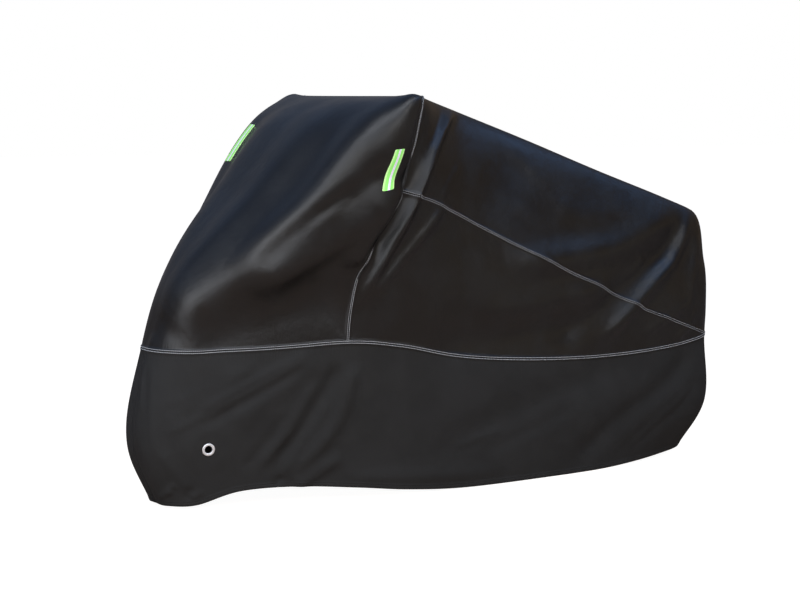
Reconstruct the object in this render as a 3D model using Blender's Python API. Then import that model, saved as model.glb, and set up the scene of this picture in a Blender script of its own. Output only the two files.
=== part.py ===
"""Fitted bicycle cover, draped: front hood, rear top, side panels, skirts, eyelets and reflective strips.

Metres, +Z up.  The cover's front points to -X.  Tables give heights above the ground.  The objects are placed
so that the origin lies at the inner face of the cloth, over the middle of the handlebar.
"""
import math

import bmesh
import bpy
import numpy as np
from mathutils import Vector

# ---------------------------------------------------------------- named sizes
CLOTH = 0.0020                          # thickness of the sheet
JOIN = 0.00050                          # open line between two neighbouring pieces of cloth
REST_HEIGHT = 1.0870                    # inner face of the cloth over the bar, above the ground
SEAM_U = 0.200                          # where the two hood seams stand, on the way round the cover
TAUT_V = 0.12                           # folds run out above this level, where the cloth is taut
LEAST_FOLD = 0.022                      # least width of a fold, so that the grid of the sheets shows it
RUN_OUT = 0.2                           # share of a fold's length over which it runs out at each end
FOLD_POINTS = 13                        # points along a fold
EYELET_U, EYELET_V = 0.101, 4.09        # place of the eyelets on the skirts
FLAT_RADIUS, FLAT_FADE = 0.038, 0.075   # cloth flat round an eyelet, and where that ends
HOLE_RADIUS = 0.0129                    # hole in the cloth, in the eyelet's groove
RING_STEPS = 24                         # sides of an eyelet and of its hole
STRIP_THICKNESS = 0.0012
STRIP_CLEARANCE = 0.0004                # between a strip and the cloth it is sewn to
WELD_STEP = 0.00002                     # points nearer than this are one point
SMOOTH_ANGLE = 50                       # degrees, sharper edges stay sharp
EDGE_ORDER = (1, .37, .21)              # direction that decides how the quads of an edge are split

# Section of an eyelet: radius, and height over the cloth's outer face.
EYELET_SECTION = (
    (.0168, .0004), (.0125, .0004), (.0125, -.0024), (.0162, -.0024), (.0166, -.0029),
    (.0160, -.0034), (.0115, -.0034), (.0105, -.0026), (.0105, .0012), (.0115, .0021),
    (.0138, .0024), (.0160, .0019), (.0170, .0011),
)

# Colour (linear), roughness and metallic value of each material.
MATERIALS = {
    "upper_cloth": ((.016, .019, .026, 1), .45, 0),
    "skirt_cloth": ((.021, .021, .021, 1), .85, 0),
    "eyelet_metal": ((.86, .87, .88, 1), .25, 1),
    "reflective_tape": ((.45, .95, .25, 1), .40, 0),
}

# ---- geometry of the drape
# Sections of one half of the cover, nose to tail.  u runs round the cover: 0 at the nose, 0.5 at the tail.
# Each section goes down through six levels.  There it has its place along the cover (x), half width (w) and
# height (z).  crown says how roundly the cloth turns down at the crest.
LEVELS = ("crest", "chest", "waist", "belt", "calf", "hem")     # v = 0 to 5, and -1 at the middle of the top
UPPER_COLUMNS = ("name", "u", "crown", "crest_x", "crest_w", "crest_z", "chest_x", "chest_w", "chest_z",
                 "waist_x", "waist_w", "waist_z")
UPPER = (
    ("nose", .000, .60, -.010, .000, 1.089, -.388, .000, .815, -.588, .000, .560),
    ("brow", .045, .60, -.010, .105, 1.090, -.384, .112, .815, -.575, .063, .560),
    ("cheek", .085, .54, -.008, .200, 1.092, -.334, .198, .810, -.516, .122, .560),
    ("jaw", .125, .44, -.003, .280, 1.096, -.294, .288, .800, -.420, .186, .560),
    ("fold", .165, .40, .004, .322, 1.100, -.125, .310, .800, -.250, .235, .560),
    ("seam", .200, .30, .036, .316, 1.093, -.036, .300, .820, -.132, .250, .600),
    ("hip", .250, .30, .120, .200, 1.086, .070, .262, .800, .030, .252, .590),
    ("saddle", .300, .30, .300, .060, 1.054, .270, .205, .770, .250, .228, .560),
    ("flank", .350, .28, .560, .045, .968, .540, .172, .700, .530, .203, .500),
    ("haunch", .400, .30, .830, .042, .872, .825, .145, .650, .825, .172, .470),
    ("rump", .445, .42, 1.070, .038, .790, 1.080, .116, .600, 1.080, .138, .450),
    ("corner", .475, .58, 1.160, .026, .757, 1.205, .085, .590, 1.208, .095, .450),
    ("tail", .500, .60, 1.185, .000, .748, 1.250, .000, .590, 1.254, .000, .450),
)
LOWER_COLUMNS = ("name", "belt_x", "belt_w", "belt_z", "calf_x", "calf_w", "calf_z",
                 "hem_x", "hem_w", "hem_z")
LOWER = (
    ("nose", -.628, .000, .425, -.668, .000, .150, -.610, .000, .011),
    ("brow", -.615, .065, .425, -.652, .070, .150, -.598, .055, .009),
    ("cheek", -.555, .118, .424, -.565, .120, .170, -.535, .100, .012),
    ("jaw", -.435, .165, .426, -.435, .152, .190, -.420, .130, .043),
    ("fold", -.285, .205, .432, -.275, .185, .200, -.262, .165, .046),
    ("seam", -.150, .236, .438, -.120, .215, .200, -.110, .200, .034),
    ("hip", .020, .240, .418, .040, .230, .200, .050, .220, .016),
    ("saddle", .240, .226, .372, .240, .225, .190, .240, .215, .002),
    ("flank", .530, .203, .345, .520, .208, .170, .520, .198, .000),
    ("haunch", .825, .172, .337, .805, .178, .170, .790, .162, .000),
    ("rump", 1.080, .138, .350, 1.070, .142, .155, 1.010, .115, .013),
    ("corner", 1.203, .096, .366, 1.202, .094, .145, 1.120, .075, .024),
    ("tail", 1.249, .000, .372, 1.246, .000, .140, 1.155, .000, .030),
)

# The slanting seam, from the hood seam to the belt at the rear corner.
SLANT_COLUMNS = ("u", "v")
SLANT = ((.200, .945), (.232, .930), (.264, .955), (.309, 1.150), (.360, 1.460), (.404, 1.850), (.440, 2.330),
         (.4755, 3.000))

# Reflective strips, each over one column of the hood's grid.
STRIP_COLUMNS = ("name", "side", "u0", "u1", "v0", "v1")
STRIPS = (
    ("reflective_strip_left", -1, .1632, .1768, .575, .845),
    ("reflective_strip_right", 1, .0935, .1085, .44, .72),
)

# Folds: a ridge (depth > 0) or a trough (depth < 0) from (u0, v0) by (u1, v1) to (u2, v2).  Sides: -1 left,
# 1 right.
FOLD_COLUMNS = ("name", "side", "u0", "v0", "u1", "v1", "u2", "v2", "width", "depth")
FOLDS = (
    ("broad_ridge", -1, .158, .20, .124, 1.30, .042, 2.64, .086, .025),
    ("ridge_trough", -1, .166, .62, .132, 1.04, .116, 1.70, .022, -.010),
    ("narrow_ridge", -1, .174, .76, .153, 1.32, .125, 2.02, .046, .028),
    ("low_hollow", -1, .190, 2.05, .142, 2.24, .080, 2.92, .076, -.022),
    ("pocket_bulge", -1, .197, .78, .187, 1.28, .181, 1.80, .044, .026),
    ("shiny_fold", -1, .305, .05, .239, .93, .206, 2.50, .017, .017),
    ("shiny_trough", -1, .250, .15, .214, 1.01, .203, 1.75, .034, -.024),
    ("second_fold", -1, .279, .89, .245, 1.61, .214, 2.35, .015, .008),
    ("ridge_hollow", -1, .345, .30, .315, .90, .280, 1.60, .090, -.009),
    ("rear_swathe", -1, .456, .33, .387, 1.11, .319, 1.59, .045, .016),
    ("rear_fold", -1, .468, .25, .424, 1.49, .382, 2.78, .021, .013),
    ("rear_trough", -1, .456, .43, .407, 1.55, .348, 2.84, .040, -.012),
    ("rear_edge", -1, .470, .55, .457, 1.29, .448, 2.47, .018, .005),
    ("side_swathe", -1, .397, 1.64, .355, 1.94, .303, 2.50, .045, .011),
    ("side_hollow", -1, .377, 2.09, .334, 2.51, .273, 2.90, .060, -.014),
    ("upper_swell", -1, .441, .39, .390, .72, .355, .73, .050, .006),
    ("skirt_crease", -1, .179, 3.03, .136, 3.36, .091, 3.66, .013, .006),
    ("skirt_parallel", -1, .141, 3.16, .107, 3.39, .064, 3.61, .020, .005),
    ("skirt_swell", -1, .184, 3.10, .150, 3.50, .118, 3.86, .034, .008),
    ("skirt_trough", -1, .196, 3.19, .176, 3.78, .141, 4.77, .022, -.009),
    ("skirt_ridge", -1, .206, 3.20, .192, 3.82, .156, 4.94, .022, .010),
    ("hem_crease", -1, .160, 5.05, .177, 4.69, .194, 4.45, .020, .007),
    ("rear_diagonal", -1, .458, 3.09, .416, 3.91, .367, 4.89, .036, -.010),
    ("long_diagonal", -1, .408, 3.10, .347, 3.70, .270, 4.55, .050, -.008),
    ("corner_diagonal", -1, .466, 3.50, .437, 4.12, .405, 4.90, .028, -.005),
    ("nose_crease", -1, .012, 2.60, .014, 3.33, .016, 4.00, .020, .005),
    ("far_ridge", 1, .145, .20, .104, .90, .080, 2.10, .060, .007),
    ("far_trough", 1, .160, .50, .134, 1.15, .104, 2.00, .038, -.012),
    ("far_hollow", 1, .185, 1.80, .150, 2.10, .100, 2.70, .080, -.026),
    ("far_bulge", 1, .180, .75, .182, 1.35, .176, 1.95, .036, .022),
    ("far_shiny", 1, .282, .05, .240, 1.05, .206, 2.55, .026, .016),
    ("far_shiny_trough", 1, .246, .15, .218, 1.10, .205, 1.90, .036, -.018),
    ("far_second", 1, .300, .80, .262, 1.80, .226, 2.60, .030, .010),
    ("far_ridge_hollow", 1, .352, .35, .322, 1.05, .290, 1.85, .085, -.014),
    ("far_swathe", 1, .458, .30, .372, 1.15, .296, 1.75, .060, .012),
    ("far_rear_fold", 1, .466, .25, .432, 1.20, .384, 2.65, .034, .014),
    ("far_rear_trough", 1, .450, .40, .408, 1.50, .345, 2.75, .048, -.014),
    ("far_side_hollow", 1, .350, 1.95, .300, 2.40, .250, 2.85, .070, -.012),
    ("far_skirt_crease", 1, .172, 3.00, .124, 3.50, .062, 3.95, .026, .009),
    ("far_skirt_trough", 1, .202, 3.15, .168, 3.90, .120, 4.85, .036, -.009),
    ("far_skirt_ridge", 1, .214, 3.10, .192, 4.00, .154, 5.10, .030, .009),
    ("far_diagonal", 1, .456, 3.10, .402, 3.95, .345, 4.95, .040, -.009),
    ("far_long_diagonal", 1, .392, 3.15, .330, 3.85, .262, 4.65, .050, -.007),
)


def table(rows, names):
    """A table's columns by name."""
    return {name: np.array([row[i] for row in rows]) for i, name in enumerate(names)}


SECTION = {**table(UPPER, UPPER_COLUMNS), **table(LOWER, LOWER_COLUMNS)}
SLANT_LINE = table(SLANT, SLANT_COLUMNS)


def unit(vectors):
    """Vectors at length one."""
    return vectors / (np.linalg.norm(vectors, axis=-1, keepdims=True) + 1e-12)


def ease(share):
    """A share from 0 to 1 with soft ends."""
    share = np.clip(share, 0, 1)
    return share * share * (3 - 2 * share)


def hermite(t, start, start_rate, end, end_rate):
    """Cubic from start to end with the given rates, t from 0 to 1."""
    return ((2 * t**3 - 3 * t**2 + 1) * start + (t**3 - 2 * t**2 + t) * start_rate
            + (3 * t**2 - 2 * t**3) * end + (t**3 - t**2) * end_rate)


def smooth_line(knots, values, x):
    """Smooth line through the values at the knots, read at x."""
    step = np.diff(knots)
    slope = np.diff(values) / step
    rate = np.empty(len(values))
    rate[1:-1] = (slope[:-1] * step[1:] + slope[1:] * step[:-1]) / (step[:-1] + step[1:])
    rate[0], rate[-1] = slope[0], slope[-1]
    i = np.clip(np.searchsorted(knots, x, side="right") - 1, 0, len(knots) - 2)
    t = (x - knots[i]) / step[i]
    return hermite(t, values[i], rate[i] * step[i], values[i + 1], rate[i + 1] * step[i])


def section_value(name, u):
    """One column of the sections at u, mirrored past nose and tail so that the line is smooth there."""
    sign = -1.0 if name.endswith("_w") else 1.0
    knots, values = SECTION["u"], SECTION[name]
    knots = np.concatenate([-knots[3:0:-1], knots, 1.0 - knots[-2:-5:-1]])
    values = np.concatenate([sign * values[3:0:-1], values, sign * values[-2:-5:-1]])
    return smooth_line(knots, values, u)


def section_points(u, side):
    """The six level points of the section at u."""
    return np.stack([np.stack([section_value(level + "_x", u), side * section_value(level + "_w", u),
                               section_value(level + "_z", u)], -1) for level in LEVELS], -2)


def level_tangents(points, u):
    """Direction of the cloth at each level, down the section."""
    run = np.diff(np.concatenate([points, 2 * points[..., 5:, :] - points[..., 4:5, :]], -2), axis=-2)
    length = np.linalg.norm(run, axis=-1, keepdims=True)
    heading = run / (length + 1e-9)
    before, after = length[..., :-1, :], length[..., 1:, :]
    below = (heading[..., :-1, :] * after + heading[..., 1:, :] * before) / (before + after)
    crest, chest = points[..., 0, :], points[..., 1, :]
    outward_flat = unit((chest - crest) * [1, 1, 0] + crest * [0, .6, 0])
    crown = outward_flat * 2 * section_value("crown", u)[..., None]
    return np.concatenate([crown[..., None, :], below], -2), length


def drape(u, v, side):
    """Smooth drape, without folds."""
    u, v = np.broadcast_arrays(np.asarray(u, float), np.asarray(v, float))
    points = section_points(u, side)
    tangents, length = level_tangents(points, u)
    level = np.clip(np.floor(v).astype(int), 0, 4)
    t = np.clip(v - level, 0, 1)[..., None]

    def pick(array, offset):
        index = (level + offset)[..., None, None].repeat(array.shape[-1], -1)
        return np.take_along_axis(array, index, -2)[..., 0, :]
    span = pick(length, 0)
    down = hermite(t, pick(points, 0), span * pick(tangents, 0), pick(points, 1), span * pick(tangents, 1))
    # Over the top: level from the crest to the middle line, or, on the hood, to its edge behind the bar.
    crest = points[..., 0, :]
    corner = section_points(np.full_like(u, SEAM_U), side)[..., 0, :]
    middle = corner * [1, 0, 1]
    share = np.clip(np.abs(crest[..., 1:2] / corner[..., 1:2]), 0, 1)
    top = np.where((u >= SEAM_U)[..., None], crest * [1, 0, 1], middle + (corner - middle) * share)
    over = top + (crest - top) * np.clip(v + 1, 0, 1)[..., None]
    return np.where((v < 0)[..., None], over, down)


def outward(surface, u, v, side, du=.0015, dv=.01):
    """Outward direction of a surface at (u, v), by small steps both ways."""
    along = surface(u + du, v, side) - surface(u - du, v, side)
    down = surface(u, np.minimum(v + dv, 5.0), side) - surface(u, np.maximum(v - dv, -1.0), side)
    return unit(np.cross(down, along) * -side)


def fold_path(fold):
    """Points of the drape along a fold."""
    t = np.linspace(0, 1, FOLD_POINTS)
    places = np.array([0, .5, 1])
    u = smooth_line(places, np.array([fold["u0"], fold["u1"], fold["u2"]]), t)
    v = smooth_line(places, np.array([fold["v0"], fold["v1"], fold["v2"]]), t)
    return drape(u, v, fold["side"])


def fold_lift(points):
    """How far the folds lift the cloth at these points of the drape."""
    lift = np.zeros(points.shape[:-1])
    for row in FOLDS:
        fold = dict(zip(FOLD_COLUMNS, row))
        path = fold_path(fold)
        nearest = np.full(lift.shape, np.inf)
        place = np.zeros(lift.shape)
        for k, (start, end) in enumerate(zip(path[:-1], path[1:])):
            t = np.clip((points - start) @ (end - start) / ((end - start) @ (end - start)), 0, 1)
            distance = np.linalg.norm(points - start - t[..., None] * (end - start), axis=-1)
            place = np.where(distance < nearest, (k + t) / (len(path) - 1), place)
            nearest = np.minimum(nearest, distance)
        ends = ease(np.clip(place / RUN_OUT, 0, 1) * np.clip((1 - place) / RUN_OUT, 0, 1))
        lift = lift + fold["depth"] * ends * np.exp(-(nearest / max(fold["width"], LEAST_FOLD)) ** 2)
    return lift


def folded(u, v, side):
    """The drape with its folds."""
    points = drape(u, v, side)
    slack = np.clip(np.asarray(v, float) / TAUT_V, 0, 1) ** 2
    return points + outward(drape, u, v, side, du=.003, dv=.02) * (fold_lift(points) * slack)[..., None]


def eyelet_seat(side):
    """Centre and outward direction of the eyelet of one side."""
    u, v = np.array([EYELET_U]), np.array([EYELET_V])
    return folded(u, v, side)[0], outward(folded, u, v, side)[0]


EYELET_SEATS = {side: eyelet_seat(side) for side in (-1, 1)}


def cloth(u, v, side):
    """Outer face of the cloth: folded, and flat where an eyelet clamps it."""
    u, v = np.broadcast_arrays(np.asarray(u, float), np.asarray(v, float))
    points = folded(u, v, side)
    centre, axis = EYELET_SEATS[side]
    hold = ease((FLAT_FADE - np.linalg.norm(points - centre, axis=-1)) / (FLAT_FADE - FLAT_RADIUS))
    return points - axis * (((points - centre) @ axis) * hold)[..., None]
# ---- end of the drape


# ---------------------------------------------------------------- grid lines, shared by neighbouring pieces
HOOD_U = (0, .014, .028, .042, .056, .068, .080, .0935, .1085, .122, .136, .150, .1632, .1768, .1835, .189,
          .1945, SEAM_U)
REAR_U = (SEAM_U, .2065, .213, .221, .229, .238, .248, .258, .268, .279, .290, .300, .310, .320, .330, .340,
          .350, .360, .370, .380, .3895, .399, .408, .416, .424, .432, .4395, .447, .454, .461, .468, .4755,
          .484, .492, .500)
HOOD_V = (-1, 0, .05, .12, .20, .32, .44, .575, .645, .72, .785, .845, .945, 1.1, 1.25, 1.4, 1.57, 1.75, 1.95,
          2.2, 2.45, 2.7, 3)
SKIRT_V = (3, 3.12, 3.27, 3.42, 3.57, 3.72, 3.85, 3.967, 4.235, 4.45, 4.65, 4.85, 5)
BELT_V = 3.0
SLANT_START_V, SLANT_END_U = SLANT[0][1], SLANT[-1][0]


class Sheet:
    """A closed sheet of cloth that grows from grids of points on its outer face."""

    def __init__(self):
        self.points = []
        self.normals = []
        self.triangles = []

    def add(self, points, normals, side):
        """Adds one grid: rows run down the cover, columns round it."""
        start, (rows, columns) = len(self.points), points.shape[:2]
        self.points += list(points.reshape(-1, 3))
        self.normals += list(normals.reshape(-1, 3))
        for i in range(rows - 1):
            for j in range(columns - 1):
                a = start + i * columns + j
                b, c, d = a + columns, a + columns + 1, a + 1
                self.triangles += [(a, b, c), (a, c, d)] if side < 0 else [(c, b, a), (d, c, a)]

    def weld(self):
        """Joins equal points, and drops the triangles that this leaves without width."""
        first, kept, index = {}, [], []
        for k, point in enumerate(self.points):
            place = tuple(np.round(point / WELD_STEP).astype(int))
            if place not in first:
                first[place] = len(kept)
                kept.append(k)
            index.append(first[place])
        self.points = [self.points[k] for k in kept]
        self.normals = [self.normals[k] for k in kept]
        triangles = [tuple(index[k] for k in triangle) for triangle in self.triangles]
        self.triangles = [triangle for triangle in triangles if len(set(triangle)) == 3]

    def open_hole(self, row, column, columns, centre, axis, side):
        """Opens a round hole in the flat grid cell that starts at (row, column)."""
        cell = row * columns + column
        corners = (cell, cell + columns, cell + columns + 1, cell + 1)
        gone = 2 * (row * (columns - 1) + column)
        del self.triangles[gone:gone + 2]
        across = unit(np.cross(axis, [0, 0, 1]))
        rise = np.cross(across, axis)

        def turn_of(point):
            return math.atan2((point - centre) @ rise, (point - centre) @ across)

        def corner_at(turn):
            gaps = [abs(math.remainder(turn - turn_of(self.points[k]), 2 * math.pi)) for k in corners]
            return corners[gaps.index(min(gaps))]
        first, step = len(self.points), 2 * math.pi / RING_STEPS
        for k in range(RING_STEPS):
            ray = math.cos(k * step) * across + math.sin(k * step) * rise
            self.points.append(centre + HOLE_RADIUS * ray)
            self.normals.append(axis)
        for k in range(RING_STEPS):
            here, following = first + k, first + (k + 1) % RING_STEPS
            before, corner = corner_at((k - .5) * step), corner_at((k + .5) * step)
            fan = [(here, following, corner)] + ([(here, corner, before)] if before != corner else [])
            self.triangles += [self.facing(triangle, axis) for triangle in fan]

    def facing(self, triangle, axis):
        """The triangle, turned round if it faces against the axis."""
        a, b, c = (self.points[k] for k in triangle)
        return triangle if np.cross(b - a, c - a) @ axis > 0 else triangle[::-1]

    def solid(self, thickness=CLOTH, lift=0.0):
        """Points and faces of the closed sheet: outer face, inner face and the edge between them."""
        points, normals, count = np.array(self.points), np.array(self.normals), len(self.points)
        both = np.concatenate([points + normals * lift, points + normals * (lift - thickness)])
        faces = self.triangles + [(c + count, b + count, a + count) for a, b, c in self.triangles]
        edges = {edge for a, b, c in self.triangles for edge in ((a, b), (b, c), (c, a))}
        order = points @ EDGE_ORDER         # neighbours split the quads of their edges in the same way
        for a, b in sorted(edges):
            if (b, a) in edges:
                continue
            if order[a] < order[b]:
                faces += [(b, a, a + count), (b, a + count, b + count)]
            else:
                faces += [(b, a, b + count), (a, a + count, b + count)]
        return both, faces


def material(name):
    """The material of that name, made once."""
    if name in bpy.data.materials:
        return bpy.data.materials[name]
    colour, roughness, metallic = MATERIALS[name]
    made = bpy.data.materials.new(name)
    made.use_nodes = True
    shader = made.node_tree.nodes["Principled BSDF"]
    shader.inputs["Base Color"].default_value = colour
    shader.inputs["Roughness"].default_value = roughness
    shader.inputs["Metallic"].default_value = metallic
    return made


def add_object(name, points, faces, material_name):
    """A closed solid as an object, shaded smooth, with the ground REST_HEIGHT below the origin."""
    mesh = bpy.data.meshes.new(name)
    mesh.from_pydata([tuple(point) for point in points], [], [tuple(face) for face in faces])
    work = bmesh.new()
    work.from_mesh(mesh)
    bmesh.ops.recalc_face_normals(work, faces=work.faces)
    work.to_mesh(mesh)
    work.free()
    mesh.materials.append(material(material_name))
    mesh.shade_smooth()
    mesh.set_sharp_from_angle(angle=math.radians(SMOOTH_ANGLE))
    solid = bpy.data.objects.new(name, mesh)
    solid.location = (0, 0, -REST_HEIGHT)
    bpy.context.scene.collection.objects.link(solid)
    return solid


def draw_back(points, moved, edge, inner, by_row):
    """Moves one border of a grid inwards by half a join."""
    if by_row:
        moved[edge] += unit(points[inner] - points[edge]) * JOIN / 2
    else:
        moved[:, edge] += unit(points[:, inner] - points[:, edge]) * JOIN / 2


def slant_v(u):
    """Level of the lower edge of the rear top: the slanting seam, then the belt."""
    slant = smooth_line(SLANT_LINE["u"], SLANT_LINE["v"], np.minimum(u, SLANT_END_U))
    return np.where(u < SLANT_END_U, slant, BELT_V)


def build_hood():
    """Front hood, between the two hood seams, from its edge behind the bar to the belt."""
    sheet = Sheet()
    around = np.array([-u for u in HOOD_U[::-1]] + list(HOOD_U[1:]))
    u, v = np.meshgrid(np.abs(around), np.array(HOOD_V, float))
    right = (around > 0)[None, :, None]
    points = np.where(right, cloth(u, v, 1), cloth(u, v, -1))
    normals = np.where(right, outward(cloth, u, v, 1), outward(cloth, u, v, -1))
    normals[0] = normals[1, 0] = normals[1, -1] = [0, 0, 1]
    moved = points.copy()
    for edge, inner in ((0, 1), (-1, -2)):
        draw_back(points, moved, edge, inner, by_row=False)
        draw_back(points, moved, edge, inner, by_row=True)
        moved[0, edge] = moved[1, edge] = points[0, edge] + unit(points[1, inner] - points[0, edge]) * JOIN
    sheet.add(moved, normals, side=-1)
    sheet.weld()
    add_object("front_hood", *sheet.solid(), "upper_cloth")


def build_rear_top():
    """Rear top, over the ridge, down to the slanting seams and round the tail to the belt."""
    sheet = Sheet()
    u = np.array(REAR_U)
    shares = np.array([level / SLANT_START_V for level in HOOD_V if 0 <= level <= SLANT_START_V])
    v = np.concatenate([np.full((1, len(u)), -1.0), shares[:, None] * slant_v(u)])
    u = np.broadcast_to(u, v.shape)
    for side in (-1, 1):
        points, normals = cloth(u, v, side), outward(cloth, u, v, side)
        normals[0] = unit(normals[1] * [1, 0, 1])
        normals[:2, 0] = [0, 0, 1]
        moved = points.copy()
        draw_back(points, moved, -1, -2, by_row=True)
        draw_back(points, moved, 0, 1, by_row=False)
        moved[0, :, 1] = 0
        sheet.add(moved, normals, side)
    sheet.weld()
    add_object("rear_top", *sheet.solid(), "upper_cloth")


def build_side_panel(name, side):
    """Three-cornered side panel, between hood seam, slanting seam and belt."""
    sheet = Sheet()
    u = np.array([place for place in REAR_U if place <= SLANT_END_U])
    high = slant_v(u)
    levels = np.array([level for level in HOOD_V if level >= SLANT_START_V])
    shares = (levels - SLANT_START_V) / (BELT_V - SLANT_START_V)
    v = high + shares[:, None] * (BELT_V - high)
    u = np.broadcast_to(u, v.shape)
    points, normals = cloth(u, v, side), outward(cloth, u, v, side)
    moved = points.copy()
    draw_back(points, moved, 0, 1, by_row=True)
    draw_back(points, moved, -1, -2, by_row=True)
    draw_back(points, moved, 0, 1, by_row=False)
    tip, middle = points[0, -1], points[len(shares) // 2, -2]
    moved[:, -1] = tip + unit(middle - tip) * 4 * JOIN
    sheet.add(moved, normals, side)
    sheet.weld()
    add_object(name, *sheet.solid(), "upper_cloth")


def build_skirt(name, side):
    """Skirt of one side, from the belt to the hem, with the hole for its eyelet."""
    sheet = Sheet()
    places = HOOD_U + REAR_U[1:]
    u, v = np.meshgrid(np.array(places), np.array(SKIRT_V))
    points, normals = cloth(u, v, side), outward(cloth, u, v, side)
    moved = points.copy()
    draw_back(points, moved, 0, 1, by_row=True)
    draw_back(points, moved, 0, 1, by_row=False)
    draw_back(points, moved, -1, -2, by_row=False)
    sheet.add(moved, normals, side)
    row = max(i for i, level in enumerate(SKIRT_V) if level < EYELET_V)
    column = max(j for j, place in enumerate(places) if place < EYELET_U)
    centre, axis = EYELET_SEATS[side]
    sheet.open_hole(row, column, len(places), centre, axis, side)
    add_object(name, *sheet.solid(), "skirt_cloth")


def build_strip(strip):
    """Reflective strip, sewn on the hood."""
    sheet = Sheet()
    side = strip["side"]
    around = sorted(side * u for u in HOOD_U if strip["u0"] <= u <= strip["u1"])
    levels = [v for v in HOOD_V if strip["v0"] <= v <= strip["v1"]]
    u, v = np.meshgrid(np.abs(around), np.array(levels))
    sheet.add(cloth(u, v, side), outward(cloth, u, v, side), side=-1)
    solid = sheet.solid(STRIP_THICKNESS, lift=STRIP_THICKNESS + STRIP_CLEARANCE)
    add_object(strip["name"], *solid, "reflective_tape")


def build_eyelet(name, side):
    """Turned metal ring, whose groove holds the edge of the hole."""
    centre, axis = EYELET_SEATS[side]
    points, faces, count = [], [], len(EYELET_SECTION)
    for k in range(RING_STEPS):
        turn = 2 * math.pi * k / RING_STEPS
        points += [(radius * math.cos(turn), radius * math.sin(turn), height)
                   for radius, height in EYELET_SECTION]
        after = (k + 1) % RING_STEPS
        for i in range(count):
            following = (i + 1) % count
            faces.append((k * count + i, after * count + i, after * count + following, k * count + following))
    ring = add_object(name, points, faces, "eyelet_metal")
    ring.location = Vector(centre) - Vector((0, 0, REST_HEIGHT))
    ring.rotation_euler = Vector(axis).to_track_quat("Z", "Y").to_euler()


def main():
    for old in list(bpy.data.objects):
        bpy.data.objects.remove(old, do_unlink=True)
    build_hood()
    build_rear_top()
    for word, side in (("left", -1), ("right", 1)):
        build_side_panel("side_panel_" + word, side)
        build_skirt("skirt_" + word, side)
        build_eyelet("eyelet_" + word, side)
    for row in STRIPS:
        build_strip(dict(zip(STRIP_COLUMNS, row)))


main()
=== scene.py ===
"""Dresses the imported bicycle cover: draped panels, felled seams, stitching, hem, reflective strips, eyelets.

Metres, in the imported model's frame: +Z up, the cover's front towards -X, the origin at the inner face of the
cloth over the middle of the handlebar.  The drape's tables give heights above the ground, as the solids do.
"""
from __future__ import annotations

import logging
import math
from contextlib import contextmanager
from dataclasses import dataclass, field
from enum import Enum
from functools import cache
from typing import Callable, Iterator

import bpy
import numpy as np
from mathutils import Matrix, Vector

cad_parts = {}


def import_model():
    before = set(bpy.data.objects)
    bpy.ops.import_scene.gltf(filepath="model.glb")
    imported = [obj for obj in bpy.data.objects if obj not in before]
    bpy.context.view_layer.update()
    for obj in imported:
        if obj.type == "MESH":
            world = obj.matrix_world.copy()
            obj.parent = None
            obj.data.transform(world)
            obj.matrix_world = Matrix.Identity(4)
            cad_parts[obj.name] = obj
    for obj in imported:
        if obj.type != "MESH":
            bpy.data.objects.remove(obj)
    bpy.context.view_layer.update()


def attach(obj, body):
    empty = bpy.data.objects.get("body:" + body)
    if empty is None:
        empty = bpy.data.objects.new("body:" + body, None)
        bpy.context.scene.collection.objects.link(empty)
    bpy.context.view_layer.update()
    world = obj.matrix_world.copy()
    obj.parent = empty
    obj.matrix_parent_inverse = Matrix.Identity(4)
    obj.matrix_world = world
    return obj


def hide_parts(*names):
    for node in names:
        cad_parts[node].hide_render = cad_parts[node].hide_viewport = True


LOG = logging.getLogger("bicycle_cover")
REST_HEIGHT = 1.0870            # the origin above the ground
SEAM_U = 0.200                  # place of the hood seams on the way round the cover, 0 at the nose
TAIL_U = 0.5                    # place of the tail
TOP_V = -1.0                    # level of the hood's rear edge and of the rear top's middle line
BELT_V = 3.0                    # level of the belt seam
HEM_V = 5.0                     # level of the hem
HEM_STITCH_V = 4.945            # level of the hem's stitching
CLOTH = 0.0016                  # thickness that shows at the hem
Points = np.ndarray


class Side(Enum):
    """Left and right of the cover, as the sign of Y."""

    LEFT = -1
    RIGHT = 1


# ---------------------------------------------------------------- the drape, as in the solids
LEVELS = ("crest", "chest", "waist", "belt", "calf", "hem")
UPPER_COLUMNS = ("name", "u", "crown", "crest_x", "crest_w", "crest_z",
                 "chest_x", "chest_w", "chest_z", "waist_x", "waist_w", "waist_z")
UPPER = (
    ("nose", .000, .60, -.010, .000, 1.089, -.388, .000, .815, -.588, .000, .560),
    ("brow", .045, .60, -.010, .105, 1.090, -.384, .112, .815, -.575, .063, .560),
    ("cheek", .085, .54, -.008, .200, 1.092, -.334, .198, .810, -.516, .122, .560),
    ("jaw", .125, .44, -.003, .280, 1.096, -.294, .288, .800, -.420, .186, .560),
    ("fold", .165, .40, .004, .322, 1.100, -.125, .310, .800, -.250, .235, .560),
    ("seam", .200, .30, .036, .316, 1.093, -.036, .300, .820, -.132, .250, .600),
    ("hip", .250, .30, .120, .200, 1.086, .070, .262, .800, .030, .252, .590),
    ("saddle", .300, .30, .300, .060, 1.054, .270, .205, .770, .250, .228, .560),
    ("flank", .350, .28, .560, .045, .968, .540, .172, .700, .530, .203, .500),
    ("haunch", .400, .30, .830, .042, .872, .825, .145, .650, .825, .172, .470),
    ("rump", .445, .42, 1.070, .038, .790, 1.080, .116, .600, 1.080, .138, .450),
    ("corner", .475, .58, 1.160, .026, .757, 1.205, .085, .590, 1.208, .095, .450),
    ("tail", .500, .60, 1.185, .000, .748, 1.250, .000, .590, 1.254, .000, .450),
)
LOWER_COLUMNS = ("name", "belt_x", "belt_w", "belt_z",
                 "calf_x", "calf_w", "calf_z", "hem_x", "hem_w", "hem_z")
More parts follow.
